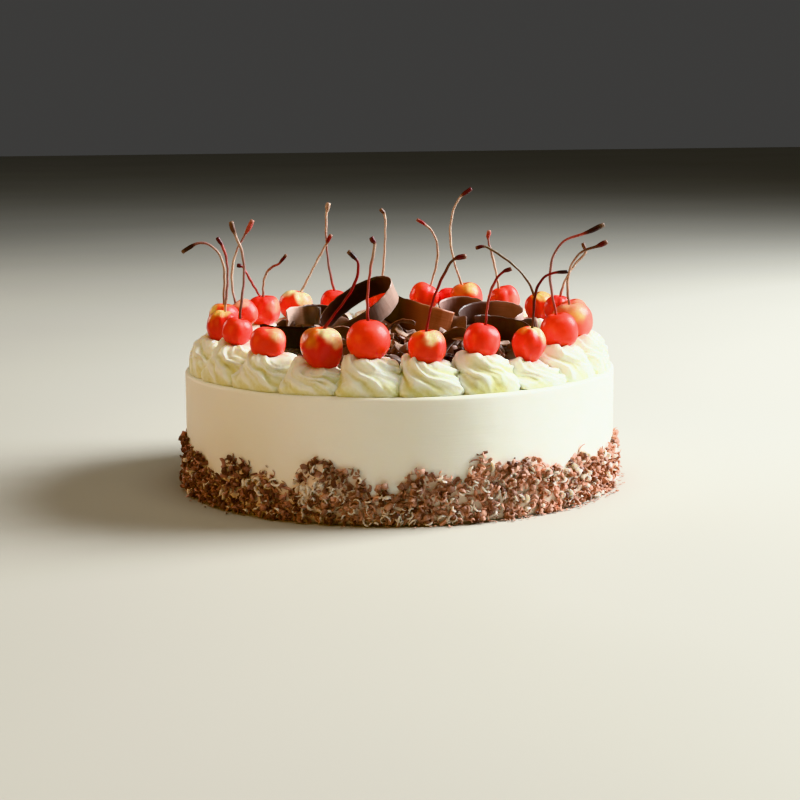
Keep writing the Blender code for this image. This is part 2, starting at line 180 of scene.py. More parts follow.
# ---------------------------------------------------------------- meshes
def build(name, verts, quads=None, tris=None, mat=None, floats=None, colours=None, vectors=None):
    """A mesh object from arrays in millimetres, shaded smooth."""
    quads = np.zeros((0, 4), np.int32) if quads is None else np.asarray(quads, np.int32)
    tris = np.zeros((0, 3), np.int32) if tris is None else np.asarray(tris, np.int32)
    mesh = bpy.data.meshes.new(name)
    mesh.vertices.add(len(verts))
    mesh.vertices.foreach_set("co", (np.asarray(verts, np.float64) * MM).astype(np.float32).ravel())
    loops = np.concatenate([quads.ravel(), tris.ravel()]).astype(np.int32)
    mesh.loops.add(len(loops))
    mesh.loops.foreach_set("vertex_index", loops)
    starts = np.concatenate([np.arange(len(quads)) * 4, len(quads) * 4 + np.arange(len(tris)) * 3]).astype(np.int32)
    mesh.polygons.add(len(starts))
    mesh.polygons.foreach_set("loop_start", starts)
    mesh.update(calc_edges=True)
    mesh.validate()
    for key, data in (floats or {}).items():
        layer = mesh.attributes.new(key, "FLOAT", "POINT")
        layer.data.foreach_set("value", np.asarray(data, np.float32).ravel())
    for key, data in (colours or {}).items():
        layer = mesh.attributes.new(key, "FLOAT_COLOR", "POINT")
        rgba = np.ones((len(verts), 4), np.float32)
        rgba[:, :3] = np.asarray(data)[:, :3]
        layer.data.foreach_set("color", rgba.ravel())
    for key, data in (vectors or {}).items():
        layer = mesh.attributes.new(key, "FLOAT_VECTOR", "POINT")
        layer.data.foreach_set("vector", np.asarray(data, np.float32).ravel())
    mesh.shade_smooth()
    if mat is not None:
        mesh.materials.append(mat)
    obj = bpy.data.objects.new(name, mesh)
    bpy.context.scene.collection.objects.link(obj)
    return obj


def grid_quads(rows, cols, wrap=True, flip=False):
    """Quads of a rows x cols grid of vertices, closed round if wrap."""
    r, c = np.meshgrid(np.arange(rows - 1), np.arange(cols if wrap else cols - 1), indexing="ij")
    r, c = r.ravel(), c.ravel()
    k = (c + 1) % cols
    quads = np.stack([r * cols + c, r * cols + k, (r + 1) * cols + k, (r + 1) * cols + c], axis=1)
    return quads[:, ::-1] if flip else quads


def fan(centre, ring, flip=False):
    ring = np.asarray(ring)
    tris = np.stack([ring, np.roll(ring, -1), np.full(len(ring), centre)], axis=1)
    return tris[:, ::-1] if flip else tris


def ride(obj, slot, *nodes):
    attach(obj, "root")
    if nodes:
        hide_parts(*nodes)
    return obj


def ring_point(azimuth, radius, z):
    a = math.radians(azimuth)
    return np.array([radius * math.sin(a), -radius * math.cos(a), z])


# ---------------------------------------------------------------- materials
class Shader:
    """A Principled material and a few helpers to wire its nodes."""

    def __init__(self, name, **constants):
        self.mat = bpy.data.materials.new(name)
        self.mat.use_nodes = True
        self.tree = self.mat.node_tree
        self.nodes, self.links = self.tree.nodes, self.tree.links
        self.bsdf = next(n for n in self.nodes if n.type == "BSDF_PRINCIPLED")
        for key, value in constants.items():
            self.bsdf.inputs[key.replace("_", " ")].default_value = value

    def node(self, kind, **settings):
        made = self.nodes.new(kind)
        for key, value in settings.items():
            setattr(made, key, value)
        return made

    def link(self, a, b):
        self.links.new(a, b)

    def put(self, socket, value):
        if isinstance(value, bpy.types.NodeSocket):
            self.link(value, socket)
        else:
            socket.default_value = value

    def attribute(self, name, output="Fac"):
        made = self.node("ShaderNodeAttribute", attribute_name=name)
        return made.outputs[output]

    def position(self):
        return self.node("ShaderNodeTexCoord").outputs["Object"]

    def noise(self, vector, scale, detail=3.0, rough=0.55, distortion=0.0):
        made = self.node("ShaderNodeTexNoise")
        made.inputs["Scale"].default_value = scale
        made.inputs["Detail"].default_value = detail
        made.inputs["Roughness"].default_value = rough
        made.inputs["Distortion"].default_value = distortion
        self.link(vector, made.inputs["Vector"])
        return made.outputs["Fac"]

    def scaled(self, vector, scale):
        made = self.node("ShaderNodeMapping")
        made.inputs["Scale"].default_value = scale
        self.link(vector, made.inputs["Vector"])
        return made.outputs["Vector"]

    def range(self, value, low, high, to_low=0.0, to_high=1.0):
        made = self.node("ShaderNodeMapRange")
        made.clamp = True
        self.put(made.inputs["Value"], value)
        made.inputs["From Min"].default_value = low
        made.inputs["From Max"].default_value = high
        made.inputs["To Min"].default_value = to_low
        made.inputs["To Max"].default_value = to_high
        return made.outputs["Result"]

    def math(self, operation, a, b=0.0):
        made = self.node("ShaderNodeMath", operation=operation)
        self.put(made.inputs[0], a)
        self.put(made.inputs[1], b)
        return made.outputs[0]

    def mix(self, factor, a, b, blend="MIX"):
        made = self.node("ShaderNodeMix", data_type="RGBA", blend_type=blend)
        self.put(made.inputs[0], factor)
        self.put(made.inputs[6], a)
        self.put(made.inputs[7], b)
        return made.outputs[2]

    def bump(self, height, strength, distance, normal=None):
        made = self.node("ShaderNodeBump")
        made.inputs["Strength"].default_value = strength
        made.inputs["Distance"].default_value = distance
        self.link(height, made.inputs["Height"])
        if normal is not None:
            self.link(normal, made.inputs["Normal"])
        return made.outputs["Normal"]

    def out(self, **sockets):
        for key, value in sockets.items():
            self.put(self.bsdf.inputs[key.replace("_", " ")], value)
        return self.mat


def cream_coat():
    s = Shader("cream_coat", Roughness=0.42, Subsurface_Weight=0.22, Subsurface_Scale=0.004,
               Subsurface_Radius=(1.0, 0.8, 0.55), Specular_IOR_Level=0.25)
    p = s.position()
    broad = s.noise(p, 22.0, 2.0)
    fine = s.noise(s.scaled(p, (60.0, 60.0, 900.0)), 1.0, 3.0)      # long low spatula marks
    grain = s.noise(p, 1500.0, 2.0)
    colour = s.mix(s.range(broad, 0.35, 0.65), lin(251, 252, 241), lin(249, 250, 236))
    colour = s.mix(s.range(grain, 0.3, 0.75, 0.0, 0.35), colour, lin(248, 245, 231))
    # the coat turns a warm tan below the top of the flake band, between the flakes
    colour = s.mix(s.math("MULTIPLY", s.attribute("flake_band_tan"), s.range(s.noise(p, 420.0, 2.0), 0.3, 0.7, 0.55, 1.0)), colour, lin(242, 212, 184))
    n = s.bump(fine, 0.25, 0.00025)
    n = s.bump(s.noise(p, 45.0, 2.0), 0.3, 0.0009, n)
    n = s.bump(grain, 0.12, 0.00012, n)
    return s.out(Base_Color=colour, Roughness=s.range(broad, 0.3, 0.7, 0.38, 0.5), Normal=n)


def cream_smeared_and_bounce():
    s = Shader("cream_smeared_and_bounce", Roughness=0.45, Subsurface_Weight=0.35, Subsurface_Scale=0.002,
               Subsurface_Radius=(1.0, 0.8, 0.55), Specular_IOR_Level=0.25)
    p = s.position()
    cloud = s.noise(p, 380.0, 3.0)
    grain = s.noise(p, 1800.0, 2.0)
    # the pinkish tan stands for cocoa smeared in and, painted, for light bounced onto the cream from the flakes around
    colour = s.mix(s.range(cloud, 0.35, 0.7), lin(255, 249, 236), lin(250, 228, 206))
    n = s.bump(grain, 0.2, 0.0002)
    return s.out(Base_Color=colour, Roughness=s.range(grain, 0.3, 0.7, 0.4, 0.55), Normal=n)


def cream_piped():
    s = Shader("cream_piped", Roughness=0.4, Subsurface_Weight=0.45, Subsurface_Scale=0.0035,
               Subsurface_Radius=(1.0, 0.85, 0.5), Specular_IOR_Level=0.28)
    p = s.position()
    depth = s.attribute("depth")
    fine = s.noise(p, 650.0, 3.0)
    grain = s.noise(p, 2200.0, 2.0)
    # painted shade and light: the depth attribute runs from valleys, creases and feet, tinted olive-yellow for their
    # shade and bounce light, to crests painted near white
    shade = s.math("ADD", depth, s.math("MULTIPLY", s.math("SUBTRACT", fine, 0.5), 0.35))
    colour = s.mix(s.range(shade, 0.0, 0.52), lin(223, 219, 148), lin(247, 252, 234))
    n = s.bump(fine, 0.22, 0.0005)
    n = s.bump(grain, 0.18, 0.00015, n)
    return s.out(Base_Color=colour, Roughness=s.range(fine, 0.3, 0.7, 0.34, 0.5), Normal=n)


def cherry_skin():
    s = Shader("cherry_skin", Roughness=0.3, Subsurface_Weight=0.3, Subsurface_Scale=0.003,
               Subsurface_Radius=(1.0, 0.18, 0.06), Specular_IOR_Level=0.3, Coat_Weight=0.4, Coat_Roughness=0.26, IOR=1.4)
    p = s.position()
    skin = s.attribute("skin", "Color")
    mottle = s.noise(p, 380.0, 3.0)
    spots = s.noise(p, 1400.0, 2.0)
    colour = s.mix(s.range(mottle, 0.35, 0.7, 0.0, 0.40), skin, s.mix(1.0, skin, lin(236, 150, 140), "MULTIPLY"))
    colour = s.mix(s.range(spots, 0.62, 0.78, 0.0, 0.2), colour, lin(250, 110, 60))
    n = s.bump(mottle, 0.18, 0.0007)
    n = s.bump(spots, 0.10, 0.0002, n)
    return s.out(Base_Color=colour, Roughness=s.range(mottle, 0.3, 0.7, 0.26, 0.42), Normal=n)


def stem_skin():
    s = Shader("stem_skin", Roughness=0.45, Subsurface_Weight=0.12, Subsurface_Scale=0.0012,
               Subsurface_Radius=(1.0, 0.4, 0.25), Specular_IOR_Level=0.45)
    p = s.position()
    tone = s.attribute("tone", "Color")
    streak = s.noise(s.scaled(p, (1.0, 1.0, 0.22)), 1500.0, 3.0)
    colour = s.mix(s.range(streak, 0.35, 0.72, 0.0, 0.6), tone, s.mix(1.0, tone, lin(168, 128, 118), "MULTIPLY"))
    n = s.bump(streak, 0.4, 0.0004)
    return s.out(Base_Color=colour, Roughness=s.range(streak, 0.3, 0.7, 0.36, 0.58), Normal=n)


# Outer and inner colour of each curl, made lighter or darker for how the lamps fall on it in its place: painted light
# and shade, lit and shaded copies of one chocolate.
CURL_LIT_AND_SHADED_TONES = {       # outer face, inner face
    "left_strip": ((22, 12, 11), (20, 11, 10)), "left_roll": ((124, 88, 74), (236, 204, 188)),
    "right_arch": ((200, 174, 166), (196, 156, 148)), "back_arch": ((136, 100, 90), (170, 132, 124)),
    "right_strip": ((84, 48, 36), (64, 34, 24)), "big_loop": ((188, 160, 147), (88, 58, 50)),
    "middle_panel": ((178, 112, 84), (122, 72, 52)),
}
# Painted shade on the curls, darker where they lie in shadow: x in mm, share of the tone.
CURL_SHADE = {
    "big_loop": [(-42, 1.0), (-38, 0.95), (-31, 0.38), (-24, 0.24), (-15, 0.20), (-10.5, 0.28), (-6.5, 1.0)],
    "middle_panel": [(-8, 0.0), (1, 0.04), (6, 0.35), (12, 1.0)],
    "left_roll": [(-47.8, 1.0), (-46.6, 0.30), (-45, 0.12), (-36, 0.10)],
    "right_arch": [(28, 0.14), (41, 0.26), (48, 0.85), (51, 1.0), (58, 1.0)],
}


def dark_chocolate(name, outer=(138, 88, 66), inner=(72, 40, 28)):
    bloom, shine = {"chocolate_left_strip": (0.0, 0.12), "chocolate_big_loop": (0.10, 0.45),
                    "chocolate_middle_panel": (0.06, 0.22), "chocolate_right_arch": (0.15, 0.4)}.get(name, (0.25, 0.5))
    s = Shader(name, Roughness=0.36, Specular_IOR_Level=shine, Sheen_Weight=bloom, Sheen_Roughness=0.45, Sheen_Tint=(1.0, 0.9, 0.84, 1.0))
    ribbon = s.attribute("ribbon", "Vector")
    p = s.position()
    side = s.attribute("side")
    streak = s.noise(s.scaled(ribbon, (0.05, 2.6, 1.0)), 1.0, 4.0, 0.6)
    chatter = s.noise(s.scaled(ribbon, (0.9, 0.10, 1.0)), 1.0, 2.0, 0.5)
    cloud = s.noise(p, 160.0, 3.0)
    colour = s.mix(side, lin(*inner), lin(*outer))
    colour = s.mix(s.range(streak, 0.3, 0.75, 0.0, 0.55), colour, s.mix(1.0, colour, lin(178, 160, 150), "MULTIPLY"))
    if bloom > 0.03:
        colour = s.mix(s.range(cloud, 0.45, 0.75, 0.0, 0.30), colour, s.mix(side, lin(88, 54, 40), lin(146, 104, 84)))
    # painted shade: where the tone is low the curl's colour is drawn to a dark brown, standing in for shadow
    colour = s.mix(s.attribute("tone"), lin(34, 25, 25), colour)
    n = s.bump(streak, 0.35, 0.00022)
    n = s.bump(chatter, 0.3, 0.00035, n)
    return s.out(Base_Color=colour, Roughness=s.range(streak, 0.3, 0.7, 0.28, 0.44), Normal=n)


def small_chocolate(name, dark, light, rough=(0.38, 0.6), painted_light_tinted=False):
    """Flakes and shavings: each bit carries its own tone from 0 to 1."""
    s = Shader(name, Roughness=0.45, Specular_IOR_Level=0.5, Sheen_Weight=0.3, Sheen_Roughness=0.5, Sheen_Tint=(1.0, 0.86, 0.78, 1.0))
    p = s.position()
    bit = s.attribute("bit")
    fine = s.noise(p, 1300.0, 3.0)
    colour = s.mix(bit, lin(*dark), lin(*light))
    # painted light: a per-bit tint that follows how the light falls across the cake
    if painted_light_tinted:
        colour = s.mix(1.0, colour, s.attribute("painted_light_tint", "Color"), "MULTIPLY")
    colour = s.mix(s.range(fine, 0.4, 0.75, 0.0, 0.4), colour, s.mix(1.0, colour, lin(165, 150, 145), "MULTIPLY"))
    n = s.bump(fine, 0.35, 0.0003)
    return s.out(Base_Color=colour, Roughness=s.range(fine, 0.3, 0.7, *rough), Normal=n)


# ---------------------------------------------------------------- the coat
def make_coat(mat):
    """The cream coat, turned with a crisp edge, barely uneven from the spatula."""
    cols = 320
    profile = [(0.0, CAKE_HEIGHT)] + [(r, CAKE_HEIGHT) for r in (12, 24, 36, 48, 60, 70, 78, 86, 94, 99, 102)]
    for step in range(7):
        a = math.radians(90.0 - 15.0 * step)
        profile.append((CAKE_RADIUS - CAKE_EDGE + CAKE_EDGE * math.cos(a), CAKE_HEIGHT - CAKE_EDGE + CAKE_EDGE * math.sin(a)))
    profile += [(CAKE_RADIUS, z) for z in np.linspace(CAKE_HEIGHT - CAKE_EDGE - 1.2, 1.2, 34)]
    profile += [(CAKE_RADIUS - 0.3, 0.3), (CAKE_RADIUS - 1.0, 0.0), (60.0, 0.0), (0.0, 0.0)]
    profile = np.array(profile)
    az = np.arange(cols) * 2 * np.pi / cols
    rows = profile[1:-1]
    r = np.repeat(rows[:, 0][:, None], cols, 1)
    z = np.repeat(rows[:, 1][:, None], cols, 1)
    a = np.repeat(az[None, :], len(rows), 0)
    p = np.stack([r * np.sin(a), -r * np.cos(a), z], -1).reshape(-1, 3)
    flat = (z > CAKE_HEIGHT - 0.01).ravel()
    side = ((r > CAKE_RADIUS - 1.7) & (z > 0.2)).ravel()
    uneven = noise(p * [1, 1, 0.45], 26.0, 3, 2)
    low = noise(p * [1, 1, 2.2], 9.0, 11, 2)
    move = (0.34 * uneven + 0.10 * low) * side
    # pushed out a little between the flakes, where it was pressed
    bearing = np.degrees(a).ravel() % 360.0
    bearing = np.where(bearing > 180.0, bearing - 360.0, bearing)
    under = 1 - smoothstep(-4.0, 0.0, p[:, 2] - flake_top(bearing))
    move = move + 0.9 * cream_shows(bearing, p[:, 2]) * under * smoothstep(0.3, 1.8, p[:, 2]) * side
    flake_band_tan = np.append(0.85 * under * side, [0.0, 0.0])
    unit = np.stack([np.sin(a), -np.cos(a), np.zeros_like(a)], -1).reshape(-1, 3)
    p = p + unit * move[:, None]
    lip = ((r > 101.0) & (z > CAKE_HEIGHT - 1.8)).ravel() * 0.22 * noise(p, 12.0, 5, 2)
    p[:, 2] += np.where(flat, 0.18 * noise(p, 18.0, 8, 2), 0.0) + lip
    p = np.vstack([p, [[0, 0, CAKE_HEIGHT], [0, 0, 0.0]]])
    n = len(rows)
    quads = grid_quads(n, cols, flip=True)
    top, low_c = n * cols, n * cols + 1
    tris = np.vstack([fan(top, np.arange(cols)), fan(low_c, np.arange(cols) + (n - 1) * cols, flip=True)])
    return ride(build("cake_coat", p, quads, tris, mat, floats={"flake_band_tan": flake_band_tan}), "whipped_cream", "cake_body")


# ---------------------------------------------------------------- cherries
def cherry_places():
    step = 360.0 / SWIRLS
    places = []
    for slot, dx, dr, z, rx, rz, _tilt in CHERRIES:
        azimuth = SWIRL_FIRST + slot * step + math.degrees(dx / SWIRL_RING)
        places.append((ring_point(azimuth, SWIRL_RING + dr, z), rx, rz))
    azimuth, radius, z, rx, rz = STRAY_CHERRY
    places.append((ring_point(azimuth, radius, z), rx, rz))
    return places


PLACES = cherry_places()
RED, UNDERSIDE_SHADE_RED, ORANGE = lin(240, 30, 8), lin(186, 8, 4), lin(246, 96, 24)
AMBER = lin(216, 136, 52)
CREAMY, BLUSH_HIGHLIGHT = lin(255, 247, 190), lin(252, 186, 160)
YELLOW, GOLD, PALE, PINK_HIGHLIGHT = lin(254, 230, 140), lin(238, 166, 64), lin(252, 214, 160), lin(248, 124, 104)
# Cherry: base colour, then patches (towards x, y up, z out of the cake's front
# as seen; size as the cosine where it ends; strength; colour).
# The pink and blush patches, set on the side that faces the lamp on the right, are painted highlights.
LOOKS = {
    1: (lin(253, 69, 42), [((0.55, 0.45, 0.7), 0.90, 0.30, PINK_HIGHLIGHT)]),
    2: (lin(242, 67, 42), [((0.30, 0.80, 0.50), 0.91, 0.95, CREAMY), ((0.20, 0.50, 0.84), 0.965, 0.95, CREAMY), ((0.68, 0.68, 0.3), 0.93, 0.6, PALE), ((-0.4, 0.9, 0.2), 0.93, 0.5, GOLD)]),
    3: (lin(250, 63, 42), [((0.75, 0.1, 0.65), 0.93, 0.35, PINK_HIGHLIGHT)]),
    4: (lin(242, 65, 44), [((0.45, 0.85, 0.25), 0.86, 1.0, CREAMY), ((0.80, 0.5, 0.35), 0.92, 0.9, CREAMY), ((-0.3, 0.92, 0.25), 0.93, 0.5, GOLD)]),
    5: (lin(253, 73, 44), []),
    6: (lin(250, 134, 106), [((0.22, 0.35, 0.9), 0.955, 0.9, YELLOW), ((0.1, 0.9, 0.4), 0.86, 0.6, PALE), ((0.35, -0.5, 0.8), 0.80, 0.55, lin(244, 84, 60))]),
    7: (lin(248, 104, 84), [((0.6, 0.75, 0.4), 0.84, 0.5, PALE)]),
    8: (lin(240, 57, 42), []),
    9: (lin(234, 61, 42), [((0.0, 0.95, 0.3), 0.78, 0.9, GOLD), ((0.2, 0.8, 0.5), 0.88, 0.8, YELLOW)]),
    10: (lin(252, 69, 44), [((0.78, 0.1, 0.6), 0.93, 0.6, BLUSH_HIGHLIGHT)]),
    11: (lin(242, 79, 44), [((-0.1, 0.9, 0.4), 0.74, 0.7, lin(226, 138, 92)), ((0.30, 0.70, 0.62), 0.90, 0.85, YELLOW), ((-0.5, 0.6, 0.6), 0.84, 0.4, ORANGE)]),
    12: (lin(250, 63, 42), [((-0.4, 0.8, 0.4), 0.92, 0.35, ORANGE)]),
    13: (lin(250, 65, 42), [((-0.3, 0.8, 0.5), 0.9, 0.4, ORANGE)]),
    14: (lin(250, 61, 42), []),
    15: (lin(250, 65, 42), [((0.62, 0.62, 0.48), 0.78, 1.0, CREAMY), ((-0.3, 0.93, 0.2), 0.86, 0.95, CREAMY), ((0.85, 0.1, 0.5), 0.88, 0.85, PALE)]),
    16: (lin(250, 61, 42), [((0.62, 0.25, 0.74), 0.94, 0.6, BLUSH_HIGHLIGHT), ((0.9, 0.3, 0.2), 0.92, 0.6, PALE)]),
    17: (lin(250, 64, 42), [((-0.1, 0.85, 0.5), 0.86, 0.9, lin(250, 196, 164)), ((0.9, 0.1, 0.4), 0.93, 0.35, BLUSH_HIGHLIGHT)]),
    18: (lin(246, 64, 48), [((-0.75, 0.6, 0.3), 0.94, 0.9, YELLOW), ((0.1, 0.95, 0.3), 0.95, 0.8, GOLD)]),
    19: (lin(224, 54, 42), [((0.0, 0.97, 0.22), 0.86, 0.85, YELLOW), ((-0.6, 0.7, 0.3), 0.93, 0.5, GOLD)]),
    20: (lin(248, 65, 46), [((0.3, 0.6, 0.7), 0.95, 0.35, PINK_HIGHLIGHT)]),
    21: (lin(246, 69, 46), [((0.62, 0.5, 0.6), 0.93, 0.9, CREAMY), ((0.35, 0.88, 0.3), 0.93, 0.6, PALE), ((0.8, 0.2, 0.5), 0.90, 0.4, PINK_HIGHLIGHT)]),
    22: (lin(218, 46, 38), [((-0.2, 0.95, 0.25), 0.86, 0.6, AMBER), ((-0.55, 0.35, 0.76), 0.975, 0.75, AMBER), ((-0.75, 0.6, 0.3), 0.93, 0.5, AMBER),
                           ((0.52, 0.68, 0.5), 0.88, 1.0, CREAMY), ((0.8, 0.45, 0.4), 0.90, 1.0, CREAMY), ((0.3, 0.9, 0.3), 0.92, 0.9, CREAMY)]),
    23: (lin(240, 55, 44), []),
}
# Cherry: creases as (bearing round the fruit from its front, degrees; depth mm;
# width, degrees), and how much the skin has shrunk into dents.
CREASES = {
    1: ([(150, 0.5, 22)], 0.10), 2: ([(10, 0.55, 16), (-60, 0.4, 20)], 0.22), 3: ([(40, 0.35, 18)], 0.14),
    4: ([(-38, 0.7, 18), (30, 0.6, 16), (85, 0.6, 20)], 0.42), 5: ([(-20, 0.3, 20)], 0.12), 6: ([(0, 0.4, 16)], 0.2),
    8: ([(-20, 0.5, 14), (25, 0.4, 14)], 0.3), 9: ([(-30, 0.6, 14), (10, 0.55, 12), (40, 0.4, 14)], 0.35),
    10: ([(30, 0.5, 14)], 0.2), 11: ([(-10, 0.4, 18)], 0.22), 12: ([(20, 0.45, 14)], 0.2), 14: ([(0, 0.3, 20)], 0.15),
    15: ([(5, 0.6, 14), (-40, 0.4, 16)], 0.25), 16: ([(20, 0.45, 12), (-20, 0.35, 14)], 0.22), 18: ([(-10, 0.5, 14)], 0.3),
    19: ([(-30, 0.7, 14), (15, 0.6, 14)], 0.4), 20: ([(20, 0.3, 16)], 0.2), 21: ([(0, 0.35, 18)], 0.22),
    22: ([(-14, 0.95, 13), (60, 0.5, 18), (-80, 0.5, 18)], 0.35),
}


FLATTER = {1: 0.35, 3: 0.7}            # share of the usual stem cavity
BLOCK = {1: 2.12, 2: 2.4, 3: 2.4, 4: 2.3, 5: 2.3, 10: 2.8, 13: 2.6, 16: 2.9, 21: 2.7, 22: 2.5}
HEARTS = {4: (0.34, 3.4, 0.0), 22: (0.12, 2.6, 2.2), 16: (0.1, 1.0, 0.0)}


def make_cherry(number, mat):
    """One preserved cherry: a slightly flattened ball with a stem cavity, a few
    creases, and skin that runs from red to yellow where the dye didn't take."""
    centre, rx, rz = PLACES[number - 1]
    tilt = math.radians(CHERRIES[number - 1][6]) if number <= len(CHERRIES) else 0.0
    cols, rows = 72, 44
    lat = np.linspace(0.5, rows - 0.5, rows) / rows * np.pi          # from the top
    lon = np.arange(cols) * 2 * np.pi / cols
    t, l = np.meshgrid(lat, lon, indexing="ij")
    unit = np.stack([np.sin(t) * np.sin(l), -np.sin(t) * np.cos(l), np.cos(t)], -1).reshape(-1, 3)
    unit = np.vstack([unit, [[0, 0, 1], [0, 0, -1]]])
    t = np.append(t.ravel(), [0.0, np.pi])
    l = np.append(l.ravel(), [0.0, 0.0])
    creases, shrink = CREASES.get(number, ([(60, 0.3, 16)], 0.15))
    push = np.zeros(len(unit))
    for bearing, depth, wide in creases:
        off = (np.degrees(l) - bearing + 180.0) % 360.0 - 180.0
        off = off + 9.0 * np.sin(2.3 * t + number)
        push -= depth * np.exp(-(off / wide) ** 2) * smoothstep(0.15, 0.9, t) * (1 - smoothstep(1.5, 2.7, t))
    push += shrink * noise(unit * 10.0, 8.0, 31 * number, 2) * 1.3
    push += shrink * 0.35 * noise(unit * 10.0, 2.6, 7 + number, 2)
    across = np.hypot(unit[:, 0], unit[:, 1])
    up = unit[:, 2]
    drop = np.where(up > 0, CHERRY_DIMPLE * 1.6 * np.clip(1 - across / 0.62, 0, 1) ** 1.2, 0.0)
    drop += np.where(up > 0, 1.5 * np.exp(-(across / 0.16) ** 2), 0.0)             # the stem's hole
    drop -= np.where(up > 0, 0.35 * np.exp(-((across - 0.36) / 0.14) ** 2), 0.0)   # swollen shoulder
    drop *= FLATTER.get(number, 1.0)
    # the fruit were packed together in their jar, so they are a little blocky
    bearing = 0.9 * number
    square = np.stack([unit[:, 0] * math.cos(bearing) - unit[:, 1] * math.sin(bearing), unit[:, 0] * math.sin(bearing) + unit[:, 1] * math.cos(bearing), unit[:, 2]], 1)
    power = BLOCK.get(number, 2.35)
    block = (np.abs(square) ** power).sum(axis=1) ** (-1.0 / power)
    block = block / (1.0 + 0.45 * (block.max() - 1.0))
    p = unit * np.array([rx, rx, rz]) * block[:, None] + unit * push[:, None]
    if number in HEARTS:                                 # drawn down to a blunt point
        pinch, longer, aside = HEARTS[number]
        below = np.clip(-unit[:, 2], 0, 1)
        p[:, :2] *= (1 - pinch * below ** 1.5)[:, None]
        p[:, 2] -= longer * below ** 2
        p[:, 0] += aside * below ** 2
    p[:, 2] -= drop
    c, s = math.cos(tilt), math.sin(tilt)
    turn = np.array([[c, 0, s], [0, 1, 0], [-s, 0, c]])
    p = p @ turn.T + centre
    # colours: patches are given as seen from the front of the cake
    base, patches = LOOKS[number]
    azimuth = math.atan2(centre[0], -centre[1])
    skin = np.repeat(np.array([base[:3]]), len(unit), 0)
    wobble = noise(unit * 10.0, 5.5, 90 + number, 3)
    world = unit @ turn.T
    # painted shade: the underside of each fruit is drawn towards a deep red, where the light does not reach
    underside_shade = smoothstep(-0.1, -0.95, world[:, 2])
    skin = skin * (1 - 0.45 * underside_shade[:, None]) + np.array(UNDERSIDE_SHADE_RED[:3]) * 0.45 * underside_shade[:, None]
    # the yellow patches are undyed skin, the pink and blush ones painted highlights
    for (x, up_, out), ends, strength, colour in patches:
        d = np.array([x, -out, up_])
        d /= np.linalg.norm(d)
        near = world @ d + 0.10 * wobble
        weight = strength * smoothstep(ends - 0.10, ends + 0.05, near)
        skin = skin * (1 - weight[:, None]) + np.array(colour[:3]) * weight[:, None]
    # a few of the fruit carry such a patch on the far side too
    spin = np.array([math.sin(azimuth + 2.4 + number), math.cos(azimuth + 2.4 + number), 0.75 + 0.3 * math.sin(number * 1.7)])
    spin /= np.linalg.norm(spin)
    far = (0.35 + 0.6 * ((number * 7) % 5) / 4.0) * smoothstep(0.80, 0.93, world @ spin + 0.09 * wobble) * smoothstep(-0.2, 0.5, world[:, 1])
    skin = skin * (1 - far[:, None]) + np.array(YELLOW[:3]) * far[:, None]
    # darker in the stem's hole: the scar's own colour, with painted shade in the recess
    hole = np.where(up > 0, np.exp(-(across / 0.15) ** 2), 0.0)[:, None]
    skin = skin * (1 - 0.75 * hole) + np.array(lin(96, 22, 10)[:3]) * 0.75 * hole
    quads = grid_quads(rows, cols, flip=True)
    n = rows * cols
    tris = np.vstack([fan(n, np.arange(cols)), fan(n + 1, np.arange(cols) + (rows - 1) * cols, flip=True)])
    return ride(build(f"cherry_fruit_{number:02d}", p, quads, tris, mat, colours={"skin": skin}), "cherry", f"cherry_{number:02d}")


# Stem tones from the fruit upwards, then the club at its end.
TAN, SAND, MAUVE = lin(190, 162, 142), lin(212, 188, 168), lin(162, 120, 116)
ROSE, BLOOD, BROWN = lin(184, 88, 84), lin(140, 28, 32), lin(104, 72, 60)
OLIVE, MAROON, INK = lin(120, 104, 84), lin(88, 14, 22), lin(46, 14, 18)
STEM_TONES = [
    (BLOOD, ROSE, TAN, MAROON), (BLOOD, BLOOD, BROWN, MAROON), (BLOOD, ROSE, BLOOD, MAROON), (BROWN, MAROON, BLOOD, INK),
    (ROSE, MAUVE, ROSE, INK), (MAUVE, TAN, BROWN, MAROON), (ROSE, SAND, TAN, BROWN), (BROWN, OLIVE, OLIVE, MAROON),
    (TAN, SAND, MAUVE, ROSE), (TAN, SAND, SAND, MAROON), (SAND, TAN, TAN, BLOOD), (TAN, SAND, SAND, BROWN),
    (ROSE, MAUVE, SAND, TAN), (SAND, SAND, TAN, BLOOD), (MAUVE, TAN, ROSE, MAROON), (ROSE, ROSE, ROSE, MAROON),
    (MAUVE, SAND, MAUVE, ROSE), (MAUVE, TAN, MAUVE, INK), (TAN, MAUVE, ROSE, MAROON), (BROWN, MAUVE, TAN, BROWN),
    (BLOOD, BLOOD, BLOOD, INK),
]


def stem_line(foot, length, lean_foot, lean_half, lean_top, club, club_lean, fine):
    """Middle line of a stem as in the CAD model, in finer steps."""
    at = np.array(foot, float) + [0, 0, -2.2]
    points = [at.copy()]
    steps = STEM_STEPS * fine
    for i in range(steps):
        t = (i + 0.5) / steps
        a = math.radians(lean_foot * (1 - t) * (1 - 2 * t) + lean_half * 4 * t * (1 - t) + lean_top * t * (2 * t - 1))
        at = at + np.array([math.sin(a), 0.12 * math.sin(3 * a), math.cos(a)]) * ((length + 2.2) / steps)
        points.append(at.copy())
    body = len(points)
    a = math.radians(club_lean)
    last = points[-1]
    for part in np.linspace(0.12, 1.0, 9):
        points.append(last + np.array([math.sin(a), 0.0, math.cos(a)]) * club * part)
    return np.array(points), body


